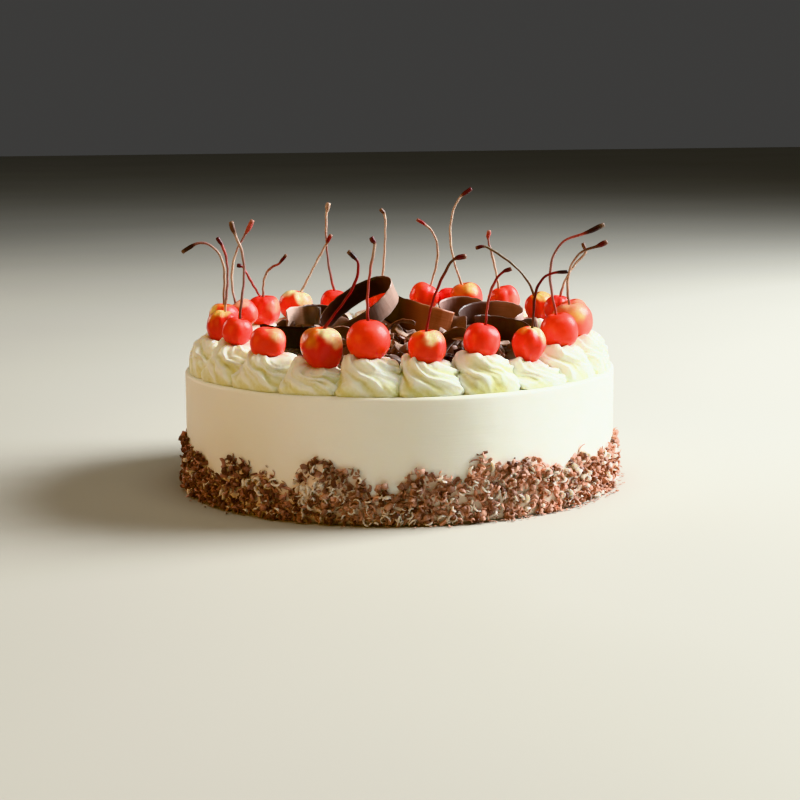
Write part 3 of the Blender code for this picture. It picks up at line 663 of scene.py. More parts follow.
def sweep(points, radii, sides=12, squash=1.0):
    """A tube round a line, its section turned as little as possible along it."""
    tangent = np.gradient(points, axis=0)
    tangent /= np.linalg.norm(tangent, axis=1)[:, None]
    side = np.cross(tangent[0], [0.3, 1.0, 0.2])
    side /= np.linalg.norm(side)
    rows = []
    a = np.arange(sides) * 2 * np.pi / sides
    for at, t, r in zip(points, tangent, radii):
        side = side - t * (side @ t)
        side /= np.linalg.norm(side)
        other = np.cross(t, side)
        rows.append(at + (np.cos(a)[:, None] * side + squash * np.sin(a)[:, None] * other) * r)
    return np.vstack(rows)


def make_stem(index, row, mat):
    number = row[0]
    centre, rx, rz = PLACES[number - 1]
    tilt = math.radians(CHERRIES[number - 1][6])
    foot = centre + np.array([math.sin(tilt), 0.0, math.cos(tilt)]) * (rz - 1.6 * CHERRY_DIMPLE)
    line, body = stem_line(foot, *row[1:], fine=7)
    # ease the kink where the club sets off
    smooth = line.copy()
    for _ in range(10):
        smooth[1:-1] = (smooth[:-2] + 2 * smooth[1:-1] + smooth[2:]) / 4
    near = np.exp(-((np.arange(len(line)) - body) / 5.0) ** 2)[:, None]
    line = line * (1 - near) + smooth * near
    n = len(line)
    k = np.arange(n)
    along = np.append(np.linspace(0, 1, body), np.ones(n - body))
    radii = STEM_RADIUS * (1.0 + 0.38 * np.exp(-along / 0.06) + 0.10 * np.sin(9 * along + index))
    c = np.clip((k - body + 1) / (n - body), 0, 1)
    radii = radii + (STEM_CLUB - STEM_RADIUS) * (0.75 + 0.3 * math.sin(1.7 * index)) * smoothstep(0.0, 0.55, c) * (1 - 0.35 * smoothstep(0.8, 1.0, c))
    line = line + 0.10 * np.stack([np.sin(k * 0.9 + index), np.cos(k * 0.7 + 2 * index), np.zeros(n)], 1)
    sides = 12
    p = sweep(line, radii, sides)
    p = p + noise(p, 1.6, 50 + index, 2)[:, None] * 0.06 * (p - np.repeat(line, sides, 0))
    foot_tone, mid_tone, top_tone, club_tone = (np.array(tone[:3]) for tone in STEM_TONES[index])
    tone = (foot_tone * (1 - smoothstep(0.05, 0.4, along))[:, None] + mid_tone * (smoothstep(0.05, 0.4, along) * (1 - smoothstep(0.6, 0.95, along)))[:, None]
            + top_tone * smoothstep(0.6, 0.95, along)[:, None])
    near_club = smoothstep(-0.10, 0.2, (k - body) / (n - body))[:, None]
    tone = tone * (1 - near_club) + club_tone * near_club
    tip = smoothstep(0.72, 1.0, c)[:, None] * (0.55 if index % 3 else 0.0)
    tone = tone * (1 - tip) + np.array(lin(170, 140, 118)[:3]) * tip
    tone = np.repeat(tone, sides, 0)
    tone = tone * (1 + 0.22 * noise(p, 2.4, 70 + index, 2))[:, None]
    ends = np.array([line[0], line[-1] + (line[-1] - line[-2]) * 0.12])
    p = np.vstack([p, ends])
    tone = np.vstack([tone, tone[0], tone[-1]])
    quads = grid_quads(n, sides)
    tris = np.vstack([fan(n * sides, np.arange(sides), flip=True), fan(n * sides + 1, np.arange(sides) + (n - 1) * sides)])
    obj = build(f"cherry_stem_{index + 1:02d}", p, quads, tris, mat, colours={"tone": np.clip(tone, 0, 1)})
    return ride(obj, "cherry")


# ---------------------------------------------------------------- swirls
def make_swirl(index, mat):
    """One star-tip swirl: twisted, folded ridges that lean over one another,
    pressed flat against its neighbours, its rim drawn up round the cherry."""
    rng = np.random.default_rng(400 + index)
    step = 360.0 / SWIRLS
    azimuth = SWIRL_FIRST + index * step
    middle = ring_point(azimuth, SWIRL_RING, CAKE_HEIGHT)
    out = ring_point(azimuth, 1.0, 0.0)
    along = np.array([-out[1], out[0], 0.0])
    half = SWIRL_RING * math.sin(math.radians(step / 2)) - 0.05
    rim = SWIRL_RIM * (1.0 + 0.05 * math.sin(2.1 * index) + 0.04 * math.cos(1.3 * index))
    phase = 0.7 * index
    near = [q for q in PLACES if np.linalg.norm(q[0] - middle) < 45.0]
    own = min(near, key=lambda q: np.linalg.norm((q[0] - middle)[:2]))
    inward = SWIRL_RING - float(np.hypot(own[0][0], own[0][1]))
    rim = max(rim, min(own[0][2] - own[2] - CAKE_HEIGHT + 1.6, 16.8 - 1.1 * max(inward, 0.0)))   # up to the fruit
    rim -= RIM_DROP.get(index, 0.0)
    cols, rows = 160, 46
    a = np.arange(cols) * 2 * np.pi / cols
    t = np.linspace(0, 1, rows)                       # foot to rim to under the cherry
    # the dome's outline: share of the radius, height, share of the twist
    key_t = np.array([0.0, 0.08, 0.26, 0.45, 0.62, 0.74, 0.86, 1.0])
    key_r = np.array([0.93, 1.00, 0.99, 0.88, 0.72, 0.58, 0.40, 0.16])
    key_z = np.array([0.0, 0.10, 0.34, 0.62, 0.86, 0.99, 1.00, 0.94]) * rim
    share = np.interp(t, key_t, key_r)
    height = np.interp(t, key_t, key_z)
    for _ in range(3):
        share[1:-1] = (share[:-2] + 2 * share[1:-1] + share[2:]) / 4
        height[1:-1] = (height[:-2] + 2 * height[1:-1] + height[2:]) / 4
    twist = np.radians(SWIRL_TWIST) * (1 - np.clip(height / rim, 0, 1)) ** 0.9
    # the folds flatten out towards the fruit
    twist = twist + np.radians(44.0) * (1 - smoothstep(0.42, 0.98, height / rim))
    twist = twist - np.radians(34.0) * np.clip((t - 0.7) / 0.3, 0, 1)
    A, T = np.meshgrid(a, t)
    R = SWIRL_RADIUS * np.interp(T, t, share)
    Z = np.interp(T, t, height)
    # the foot spreads into the corners between its neighbours
    spread = 2.0 + 2.2 * (1 - smoothstep(1.0, 9.0, Z))
    R = R * (np.abs(np.cos(A)) ** spread + np.abs(np.sin(A)) ** spread) ** (-1.0 / spread) + 1.1 * np.exp(-Z / 1.3)
    turn = np.interp(T, t, twist)
    # ridge coordinate: 0..1 between neighbouring grooves, each ridge a bit wider or narrower
    u = SWIRL_RIDGES * (A + turn - phase) / (2 * np.pi)
    uneven = 0.20 * np.sin(2 * np.pi * u / SWIRL_RIDGES * 1 + rng.uniform(0, 6)) + 0.14 * np.sin(2 * np.pi * u / SWIRL_RIDGES * 3 + rng.uniform(0, 6))
    around = np.stack([R * np.cos(A), R * np.sin(A), Z], -1).reshape(-1, 3)
    warp = noise(around, 8.5, 1500 + index, 2).reshape(R.shape)
    u = u + uneven + 0.30 * warp
    ridge = np.floor(u).astype(int)
    f = u - ridge
    # sharp crests, as the points of the nozzle draw them, with rounded valleys;
    # each crest leans to one side and laps over the valley beside it
    skew = np.clip(f, 0, 1) ** 0.8
    crest = 1.0 - np.sqrt(np.abs(np.cos(np.pi * skew)) ** 1.6 + 0.002)
    lesser = 0.18 + 0.30 * (0.5 + 0.5 * np.sin(ridge * 4.1 + index * 2.9))
    beside = np.clip(1 - np.abs(f - 0.80) / 0.17, 0, 1)
    crest = np.maximum(crest, lesser * beside ** 1.3)
    soft = np.sin(np.pi * skew) ** 2
    lipped = smoothstep(0.40, 0.64, T)             # the lip round the fruit is smoother
    crest = crest * (1 - lipped) + (0.22 + 0.55 * soft) * lipped
    # finer creases that run with the folds and break up along them
    psi = A + turn
    along_fold = np.stack([15.0 * np.cos(psi), 15.0 * np.sin(psi), 7.0 * T], -1).reshape(-1, 3)
    crease = 1.0 - np.abs(noise(along_fold, 5.2, 2100 + index, 2)).reshape(R.shape) * 2.6
    crease = np.clip(crease, 0, 1) ** 1.4
    size = 1.0 + 0.30 * np.sin(ridge * 2.4 + index * 1.3)
    depth = np.interp(T, [0, 0.1, 0.3, 0.5, 0.66, 0.8, 1.0], [0.7, 1.2, 2.0, 2.1, 1.4, 1.1, 0.5])
    lift = depth * (size * crest - 0.45) + 0.34 * depth * (crease - 0.35)
    second = 0.13 * depth * np.abs(np.sin(np.pi * (4 * f + 0.3 * ridge)))        # small ribs on the flanks
    # outline normal in the (r, z) plane
    dr = np.gradient(SWIRL_RADIUS * share, t)
    dz = np.gradient(height, t)
    length = np.hypot(dr, dz)
    nr, nz = np.interp(T, t, dz / length), np.interp(T, t, -dr / length)
    lean = 0.55 * depth * crest / np.maximum(R, 3.0)                 # crest drawn over, round the swirl
    Rn = R + (lift + second) * nr
    Zn = Z + (lift * 0.55 + second) * nz
    An = A - lean
    # folds drawn up past the rim, the highest on the clockwise side, where the
    # rope of cream sets off; they lean over the way the swirl turns
    rimness = np.exp(-((T - 0.68) / 0.11) ** 2)
    left = np.clip(np.cos(An - math.pi + 0.1), 0, 1)
    Zn = Zn + rimness * (0.5 * (size * soft - 0.4) + 3.0 * left ** 2 * (0.5 + 0.35 * soft))
    Zn = Zn + rimness * 1.6 * noise(around, 10.0, 1700 + index, 1).reshape(R.shape)
    Rn = Rn + rimness * (0.5 * left ** 2)
    An = An - 0.24 * rimness * left ** 2 * crest
    Zn = np.maximum(Zn, 0.0)
    x = Rn * np.cos(An)
    y = Rn * np.sin(An)
    # wandering of the nozzle and of the hand
    local = np.stack([x.ravel(), y.ravel(), Zn.ravel()], 1)
    wander = np.stack([noise(local, 11.0, 900 + index * 3 + k, 2) for k in range(3)], 1)
    torn = noise(local, 1.7, 37 + index, 2)
    grow = smoothstep(0.5, 5.0, local[:, 2])
    # those on the left are the most uneven, worked back and forth
    messy = 1.15 + 0.9 * smoothstep(15.0, 45.0, -middle[0])
    lumps = np.stack([noise(local, 4.6, 3900 + index * 3 + k, 2) for k in range(3)], 1)
    local = local + (wander * [0.9, 0.9, 0.7] * messy + lumps * [0.45, 0.45, 0.35] * messy ** 2 * 0.7) * grow[:, None]
    ragged = torn * grow * (0.10 + 0.30 * (crest.ravel() > 0.72))
    local[:, :2] *= (1 + ragged / np.maximum(np.hypot(local[:, 0], local[:, 1]), 2.0))[:, None]
    local[:, 2] += 0.6 * ragged
    # the swirls run into one another; only their overlap is held in
    limit = (half + 2.3) * (SWIRL_RING + local[:, 1]) / SWIRL_RING
    over = np.abs(local[:, 0]) - (limit - 2.0)
    local[:, 0] -= np.sign(local[:, 0]) * np.where(over > 0, over - 2.0 * np.tanh(over / 2.0), 0.0)
    p = middle + local[:, :1] * along + local[:, 1:2] * out
    p[:, 2] = CAKE_HEIGHT + local[:, 2]
    # the piping stops short of the edge of the cake
    reach_out = np.hypot(p[:, 0], p[:, 1])
    edge = CAKE_RADIUS - 3.4
    held = np.where(reach_out > edge, edge + 1.6 * np.tanh((reach_out - edge) / 1.6), reach_out)
    p[:, :2] *= (held / reach_out)[:, None]
    # inside the rim the cream closes against its own fruit and passes under it
    centre, rx, rz = own
    grid = p.reshape(rows, cols, 3)
    lip = int(0.72 * (rows - 1))
    level = grid[lip, :, 2] - 0.5
    for _ in range(6):
        level = (np.roll(level, 1) + 2 * level + np.roll(level, -1)) / 4
    level = np.clip(level, centre[2] - 0.96 * rz, centre[2] - 0.1 * rz)
    reach = np.sqrt(1.0 - ((level - centre[2]) / rz) ** 2) * rx * 0.97
    toward = grid[lip, :, :2] - centre[:2]
    toward /= np.linalg.norm(toward, axis=1)[:, None]
    touch = np.column_stack([centre[:2] + toward * reach[:, None], level])
    base = np.array([*centre[:2], centre[2] - 0.75 * rz])
    for row in range(lip + 1, rows):
        part = (row - lip) / (rows - 1 - lip)
        if part < 0.45:
            k = part / 0.45
            grid[row] = grid[lip] * (1 - k) + touch * k
            grid[row, :, 2] += 0.9 * np.sin(np.pi * k)
        else:
            k = (part - 0.45) / 0.55
            grid[row] = touch * (1 - k) + base * k
    # other cherries press into the cream too
    for centre, rx, rz in near:
        skin = np.array([rx - 0.2, rx - 0.2, rz - 0.2])
        off = (p - centre) / skin
        far = np.linalg.norm(off, axis=1)
        inside = (far < 1.0) & (far > (0.9 if centre is own[0] else 0.0))
        direction = off[inside] / np.maximum(far[inside], 0.05)[:, None]
        p[inside] = centre + direction * skin
    p[:, 2] = np.maximum(p[:, 2], CAKE_HEIGHT - 0.25)
    low = base + [0, 0, 0.0]
    foot = middle + [0, 0, -0.25]
    # painted shade: the foot of each swirl is painted darker and more olive
    foot_painted_shade = 0.30 + 0.70 * smoothstep(0.02, 0.34, T)
    # painted light: on the right of the cake each swirl's far side is painted whiter down to its foot, where the lamp
    # on the right falls on it
    painted_light_far_side = smoothstep(0.1, 0.7, local[:, 0] / half).reshape(rows, cols) * smoothstep(-2.0, 12.0, middle[0])
    foot_painted_shade = foot_painted_shade + (1 - foot_painted_shade) * 0.9 * painted_light_far_side
    # painted light: swirls on the right are painted paler and those in the middle front darker, for how the light falls
    # there
    painted_light_shift = 0.16 * smoothstep(48.0, 62.0, middle[0]) - 0.10 * smoothstep(-12.0, 4.0, middle[0]) * (1 - smoothstep(40.0, 52.0, middle[0]))
    # the shade paints crests and the rim round the fruit lighter and valleys and creases darker, standing in for light
    # and shade on the folds
    shade = np.clip(0.05 + (0.80 * crest + 0.32 * crease) * foot_painted_shade + 0.15 * rimness + painted_light_shift
                    + 0.24 * painted_light_far_side * (1 - smoothstep(0.25, 0.55, T)), 0, 1).ravel()
    p = np.vstack([p, low, foot])
    shade = np.append(shade, [0.3, 0.0])
    quads = grid_quads(rows, cols)
    n = rows * cols
    tris = np.vstack([fan(n, np.arange(cols) + (rows - 1) * cols), fan(n + 1, np.arange(cols), flip=True)])
    # the local frame (along, out, up) is left-handed, so the faces are turned round
    obj = build(f"piped_swirl_{index + 1:02d}", p, quads[:, ::-1], tris[:, ::-1], mat, floats={"depth": shade})
    return ride(obj, "whipped_cream", f"cream_swirl_{index + 1:02d}")


# ---------------------------------------------------------------- ribbons
def ribbon_mesh(line, across, normal, width, thick, cross, edge=0.35):
    """Many closed ribbons at once.  line, across, normal: (m, n, 3); width and
    thick: (m, n).  Returns vertices, quads, and for each vertex the bit's index,
    where it is along and across, and 1 on the outer face."""
    m, n = line.shape[:2]
    s = np.linspace(-1, 1, cross + 1)
    ring_s = np.concatenate([s, s[::-1]])
    ring_side = np.concatenate([np.ones(cross + 1), -np.ones(cross + 1)])
    thin = 1.0 - (1.0 - edge) * np.abs(ring_s) ** 4
    ring = len(ring_s)
    p = (line[:, :, None, :] + across[:, :, None, :] * (ring_s[None, None, :, None] * width[:, :, None, None] / 2)
         + normal[:, :, None, :] * (ring_side * thin)[None, None, :, None] * thick[:, :, None, None] / 2)
    one = grid_quads(n, ring)
    caps = []
    for row, flip in ((0, True), (n - 1, False)):
        base = row * ring
        for c in range(cross):
            q = [base + c, base + c + 1, base + ring - 2 - c, base + ring - 1 - c]
            caps.append(q[::-1] if flip else q)
    one = np.vstack([one, caps])
    quads = (one[None] + (np.arange(m) * n * ring)[:, None, None]).reshape(-1, 4)
    bit = np.repeat(np.arange(m), n * ring)
    t = np.tile(np.repeat(np.linspace(0, 1, n), ring), m)
    side = np.tile((ring_side + 1) / 2, m * n)
    s_all = np.tile(ring_s, m * n)
    return p.reshape(-1, 3), quads, bit, t, s_all, side


def outward(verts, quads):
    """The quads turned so that the closed mesh has its faces pointing out."""
    a, b, c, d = (verts[quads[:, k]] for k in range(4))
    volume = np.einsum("ij,ij->i", a, np.cross(b, c)).sum() + np.einsum("ij,ij->i", a, np.cross(c, d)).sum()
    return quads[:, ::-1] if volume < 0 else quads


def rotations(rng, count):
    q = rng.normal(size=(count, 4))
    q /= np.linalg.norm(q, axis=1)[:, None]
    w, x, y, z = q.T
    return np.stack([
        np.stack([1 - 2 * (y * y + z * z), 2 * (x * y - z * w), 2 * (x * z + y * w)], 1),
        np.stack([2 * (x * y + z * w), 1 - 2 * (x * x + z * z), 2 * (y * z - x * w)], 1),
        np.stack([2 * (x * z - y * w), 2 * (y * z + x * w), 1 - 2 * (x * x + y * y)], 1)], 1)


def bent_bits(rng, places, turns, radius, sweep_angle, width, thick, rows, cross, drift=0.15, growth=0.0, taper=0.3, edge=0.4):
    """Bent shavings, one at each place: a strip rolled through sweep_angle at a
    bend radius, drifting sideways as it rolls, narrower at its ends."""
    m = len(places)
    t = np.linspace(-0.5, 0.5, rows)[None, :]
    angle = sweep_angle[:, None] * t
    r = radius[:, None] * (1.0 + growth * (t + 0.5))
    line = np.stack([r * np.sin(angle), np.broadcast_to(drift * radius[:, None] * angle, angle.shape), r * (1 - np.cos(angle))], -1)
    line = line - line.mean(axis=1, keepdims=True)
    normal = np.stack([-np.sin(angle), np.zeros_like(angle), np.cos(angle)], -1)
    across = np.broadcast_to(np.array([0.0, 1.0, 0.0]), line.shape)
    w = width[:, None] * (1 - taper * np.abs(2 * t) ** 3) * (1 + 0.12 * np.sin(9 * t + 6 * rng.random((m, 1))))
    th = np.broadcast_to(thick[:, None], w.shape) * (1 - 0.45 * np.abs(2 * t) ** 4)
    line = np.einsum("mij,mnj->mni", turns, line) + places[:, None, :]
    normal = np.einsum("mij,mnj->mni", turns, normal)
    across = np.einsum("mij,mnj->mni", turns, across)
    return ribbon_mesh(line, across, normal, w, th, cross, edge)


def rotate(axis, degrees):
    return np.array(Matrix.Rotation(math.radians(degrees), 3, axis))


def make_curl(name, spec, mat):
    """A large curl: a ribbon bent round an oval, a little cupped and rippled."""
    centre, lean, toward, spin, a, b, first, last, growth, width = spec
    seed = sum(map(ord, name))
    tw = math.radians(toward)
    hinge = Vector((-math.sin(tw), math.cos(tw), 0.0))
    turn = np.array(Matrix.Rotation(math.radians(lean), 3, hinge) @ Matrix.Rotation(math.radians(spin), 3, "Z"))
    n = max(40, int(abs(last - first) / 2.2))
    t = np.linspace(0, 1, n)
    angle = np.radians(first + (last - first) * t)
    grow = 1.0 + (growth - 1.0) * t
    ripple = 0.16 * noise(np.stack([t * a * 2.6, 0 * t, 0 * t], 1), 2.6, seed, 2)
    x, y = (a * grow + ripple) * np.cos(angle), (b * grow + ripple) * np.sin(angle)
    flat = np.stack([x, y, 0.5 * np.sin(3.0 * t + seed)], 1)
    tangent = np.gradient(flat, axis=0)
    tangent /= np.linalg.norm(tangent, axis=1)[:, None]
    normal = np.cross(tangent, [0, 0, 1.0])
    normal /= np.linalg.norm(normal, axis=1)[:, None]
    across = np.cross(normal, tangent)
    taper = (1.0 - 0.12 * (2 * t - 1) ** 4) * (1 + 0.035 * noise(np.stack([t * 30, 0 * t, 0 * t], 1), 4.0, seed + 5, 2))
    line = flat @ turn.T + np.array(centre)
    cross = 14
    p, quads, _bit, along, s, side = ribbon_mesh(line[None], (across @ turn.T)[None], (normal @ turn.T)[None],
                                                 (width * taper)[None], np.full((1, n), 1.05) * (1 - 0.55 * np.abs(2 * t - 1) ** 10), cross, 0.5)
    # ragged long edges, and a slight cup across
    nn = (normal @ turn.T)[np.repeat(np.arange(n), 2 * (cross + 1))]
    aa = (across @ turn.T)[np.repeat(np.arange(n), 2 * (cross + 1))]
    length = np.sum(np.linalg.norm(np.diff(flat, axis=0), axis=1))
    flat_coords = np.stack([along * length, s * width / 2, side * 0], 1)
    rag = noise(np.stack([along * length, np.sign(s) * 9.0, 0 * s], 1), 2.2, seed + 9, 3)
    p = p + aa * (np.sign(s) * np.abs(s) ** 6 * 0.42 * rag)[:, None]
    p = p + nn * (0.35 * (s ** 2 - 0.4))[:, None]
    p = p + nn * (0.07 * noise(flat_coords * [1, 0.25, 1], 1.5, seed + 3, 2))[:, None]
    # torn ends
    end = np.exp(-along / 0.02) + np.exp(-(1 - along) / 0.02)
    tt = (tangent @ turn.T)[np.repeat(np.arange(n), 2 * (cross + 1))]
    p = p + tt * (0.9 * end * noise(np.stack([s * width / 2, 7.0 * np.sign(along - 0.5), 0 * s], 1), 2.4, seed + 1, 2))[:, None]
    ribbon = np.stack([along * length, s * width / 2, np.full(len(s), (seed % 97) * 1.0)], 1)
    # painted shade along x, as the shade table gives it for this curl
    shade = np.array(CURL_SHADE.get(name, [(0, 1.0)]), float)
    tone = np.interp(p[:, 0] + 0.5 * s, shade[:, 0], shade[:, 1])
    obj = build("curl_" + name, p, outward(p, quads), None, mat, floats={"side": side, "tone": tone}, vectors={"ribbon": ribbon})
    return ride(obj, "chocolate", "chocolate_curl_" + name)


# ---------------------------------------------------------------- heap
# Shards set on purpose: middle, turn round Z, tip, length, width, bend radius.
STANDING = [
    ((-6.5, 12.0, 75.6), 10, 78, 12.0, 9.0, 12.0), ((-9.0, 2.0, 73.6), -24, 70, 13.0, 7.0, 9.0),
    ((-2.0, -8.0, 73.0), 20, 66, 11.0, 6.0, 8.0), ((28.4, 8.0, 75.4), -14, 76, 12.0, 9.0, 11.0),
    ((26.0, 14.0, 73.6), 24, 70, 13.0, 8.0, 10.0), ((24.0, -6.0, 71.0), 30, 50, 12.0, 5.0, 9.0),
    ((3.6, -27.0, 74.6), 34, 40, 12.0, 3.4, 9.0), ((6.5, -24.0, 71.6), 18, 30, 11.0, 4.0, 8.0),
    ((25.5, -26.0, 73.6), 28, 34, 12.0, 3.0, 9.0), ((-56.0, 6.0, 74.6), 40, 72, 12.0, 8.0, 10.0),
    ((-58.0, -6.0, 73.4), -20, 66, 11.0, 8.0, 9.0), ((-54.0, 18.0, 74.0), 10, 70, 12.0, 8.0, 9.0),
    ((-30.0, 10.0, 75.0), 0, 70, 12.0, 9.0, 10.0), ((-20.0, 22.0, 74.0), 30, 66, 12.0, 8.0, 10.0),
    ((40.0, 30.0, 72.0), -30, 66, 12.0, 8.0, 9.0), ((2.0, 40.0, 72.0), 12, 60, 13.0, 8.0, 10.0),
    ((20.0, 36.0, 72.5), -18, 64, 12.0, 8.0, 9.0), ((-44.0, -14.0, 71.6), 24, 40, 12.0, 5.0, 8.0),
    ((38.0, -22.0, 71.4), -34, 36, 12.0, 5.0, 8.0), ((12.0, -38.0, 69.6), -12, 26, 13.0, 5.0, 9.0),
    ((-10.0, -40.0, 69.6), 26, 22, 12.0, 5.0, 9.0), ((62.0, 6.0, 73.5), -20, 72, 13.0, 9.0, 11.0),
    ((64.0, 14.0, 74.0), 20, 70, 12.0, 8.0, 10.0),
]
# Pale shards, bloomed with fat: two ends, width, bend radius.
PALE_SHARDS = [
    ((-1.6, -30.0, 78.6), (8.2, -31.0, 72.2), 3.0, 14.0), ((21.0, -30.0, 76.0), (31.4, -31.0, 72.6), 2.6, 18.0),
    ((-4.5, -33.0, 72.6), (1.5, -36.0, 69.8), 4.2, 8.0), ((9.0, -33.0, 72.4), (16.0, -36.0, 70.4), 2.4, 10.0),
    ((-36.0, -26.0, 73.8), (-29.0, -30.0, 72.6), 3.0, 9.0), ((-22.0, -30.0, 72.0), (-15.0, -32.0, 71.0), 2.4, 10.0),
    ((46.0, -30.0, 71.0), (53.0, -26.0, 70.4), 2.6, 9.0), ((18.0, 44.0, 72.0), (26.0, 40.0, 71.0), 3.0, 10.0),
    ((-44.0, 26.0, 74.0), (-37.0, 33.0, 72.6), 3.0, 9.0), ((50.0, 24.0, 72.0), (55.0, 17.0, 71.0), 3.2, 9.0),
]


def placed_bits(rng, rows):
    places = np.array([row[0] for row in rows], float)
    turns = np.array([rotate("Z", row[1]) @ rotate("X", row[2]) for row in rows])
    length, width, bend = (np.array([row[k] for row in rows], float) for k in (3, 4, 5))
    return bent_bits(rng, places, turns, bend, length / bend, width, np.full(len(rows), 0.8), 14, 3, 0.04, 0.0)


def shards_between(rng, rows):
    """Narrow strips from one point to another, their broad side up and to the front."""
    places, turns = [], []
    for a, b, _width, _bend in rows:
        a, b = np.array(a), np.array(b)
        x = (b - a) / np.linalg.norm(b - a)
        z = np.array([0.15, -0.62, 0.77])
        z = z - x * (z @ x)
        z /= np.linalg.norm(z)
        turns.append(np.stack([x, np.cross(z, x), z], 1))
        places.append((a + b) / 2)
    length = np.array([np.linalg.norm(np.array(b) - np.array(a)) for a, b, _w, _r in rows])
    width, bend = (np.array([row[k] for row in rows], float) for k in (2, 3))
    return bent_bits(rng, np.array(places), np.array(turns), bend, length / bend, width, np.full(len(rows), 0.8), 14, 3, 0.03, 0.0)


def make_heap(core_mat, bit_mat, pale_mat):
    """Hundreds of small bent shavings over a rough core, its chocolate painted darker for the shade deep among them."""
    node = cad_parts["chocolate_shavings_heap"]
    node_mesh = node.data
    tree = BVHTree.FromPolygons([tuple(v.co) for v in node_mesh.vertices], [tuple(p.vertices) for p in node_mesh.polygons])

    def top(x, y):
        hit = tree.ray_cast(Vector((x * MM, y * MM, 0.3)), Vector((0, 0, -1)))
        return None if hit[0] is None else hit[0].z / MM

    # core: heap pulled in a little, its surface in flaky relief
    cols, rows = 120, 26
    lo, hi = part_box("chocolate_shavings_heap")
    cx, cy = (lo[0] + hi[0]) / 2 / MM, (lo[1] + hi[1]) / 2 / MM
    points = []
    for i in range(rows):
        for j in range(cols):
            a = 2 * np.pi * j / cols
            reach = 0.0
            for r in (64, 62, 60, 58, 56, 54, 52, 50, 48, 46):
                if top(cx + r * math.cos(a), cy + r * math.sin(a)) is not None:
                    reach = r
                    break
            r = (reach - 3.0) * (1 - i / rows)
            x, y = cx + r * math.cos(a), cy + r * math.sin(a)
            z = top(x, y)
            points.append([x, y, (z if z is not None else CAKE_HEIGHT + 2.0) - 1.6])
    p = np.array(points)
    p[:, 2] += 1.1 * noise(p * [1, 1, 0.2], 3.6, 5, 3)
    p[:, 2] = np.maximum(p[:, 2], CAKE_HEIGHT + 0.6)
    p[:cols, 2] = CAKE_HEIGHT - 0.1
    p = np.vstack([p, [cx, cy, p[-cols:, 2].mean()], [cx, cy, CAKE_HEIGHT - 0.1]])
    quads = grid_quads(rows, cols)
    tris = np.vstack([fan(rows * cols, np.arange(cols) + (rows - 1) * cols), fan(rows * cols + 1, np.arange(cols), flip=True)])
    core = build("heap_core", p, quads, tris, core_mat, floats={"bit": 0.25 + 0.3 * noise(p, 5.0, 2, 2)})
    ride(core, "chocolate", "chocolate_shavings_heap")

    rng = np.random.default_rng(71)

    def scatter(count, lift):
        """Places over the heap: uniform over its plan, on its surface."""
        found = []
        while len(found) < count:
            x, y = cx + rng.uniform(-62, 62), cy + rng.uniform(-60, 60)
            z = top(x, y)
            if z is None:
                continue
            if top(x * 1.0 + 2.5 * np.sign(x - cx), y + 2.5 * np.sign(y - cy)) is None and rng.random() < 0.5:
                continue
            found.append((x, y, z + rng.uniform(*lift)))
        return np.array(found)

    groups = []
    # rolled curls
    n = 150
    places = scatter(n, (-0.6, 2.2))
    groups.append(bent_bits(rng, places, rotations(rng, n), rng.uniform(2.4, 5.2, n), np.radians(rng.uniform(130, 300, n)),
                            rng.uniform(3.5, 8.0, n), rng.uniform(0.45, 0.75, n), 15, 3, 0.05, 0.15))
    # flat, barely bent shards lying on the slope
    n = 230
    places = scatter(n, (-0.8, 1.6))
    turns = np.array([rotate("Z", s) @ rotate("X", a) @ rotate("Y", b + c) for s, a, b, c in
                      zip(rng.uniform(0, 360, n), rng.normal(0, 26, n), rng.normal(0, 26, n), rng.choice([0, 180], n))])
    bend = rng.uniform(7, 22, n)
    groups.append(bent_bits(rng, places, turns, bend, rng.uniform(6, 14, n) / bend, rng.uniform(2.6, 6.0, n),
                            rng.uniform(0.5, 0.85, n), 10, 3, 0.05, 0.0))
    # thin slivers
    n = 260
    places = scatter(n, (-0.4, 2.0))
    turns = np.array([rotate("Z", s) @ rotate("X", a) @ rotate("Y", b) for s, a, b in
                      zip(rng.uniform(0, 360, n), rng.uniform(-70, 70, n), rng.normal(0, 30, n))])
    bend = rng.uniform(3, 12, n)
    groups.append(bent_bits(rng, places, turns, bend, rng.uniform(4, 10, n) / bend, rng.uniform(0.9, 2.0, n),
                            rng.uniform(0.4, 0.7, n), 9, 1, 0.1, 0.0))
    # shards standing among the large curls, which close the gaps between them
    groups.append(placed_bits(rng, STANDING))
    obj = join_bits("heap_shavings", groups, bit_mat, rng)
    pale = join_bits("heap_pale_shards", [shards_between(rng, PALE_SHARDS)], pale_mat, rng)
    return core, ride(obj, "chocolate"), ride(pale, "chocolate")


def join_bits(name, groups, mat, rng, tone=None, painted_light_tints=None):
    """Several groups of bits as one mesh, each bit with a tone of its own."""
    verts, quads, tones, shades, base = [], [], [], [], 0
    for p, q, bit, _t, _s, side in groups:
        count = bit.max() + 1
        own = rng.normal(0.42, 0.24, count)
        if tone is not None:
            own = tone(p, bit, count, own)
        verts.append(p)
        quads.append(outward(p, q) + base)
        tones.append(np.clip(own[bit] + 0.16 * (side - 0.5), 0, 1))
        # painted light: each bit gets a colour shift by where it sits across the cake
        if painted_light_tints is not None:
            across = np.zeros(count)
            np.add.at(across, bit, p[:, 0])
            across = across / np.bincount(bit, minlength=count) / CAKE_RADIUS
            place, *shares = np.array(painted_light_tints, float).T
            shades.append(np.stack([np.interp(across, place, share) for share in shares], 1)[bit])
        base += len(p)
    colours = {"painted_light_tint": np.vstack(shades)} if painted_light_tints is not None else None
    return build(name, np.vstack(verts), np.vstack(quads), None, mat, floats={"bit": np.concatenate(tones)}, colours=colours)


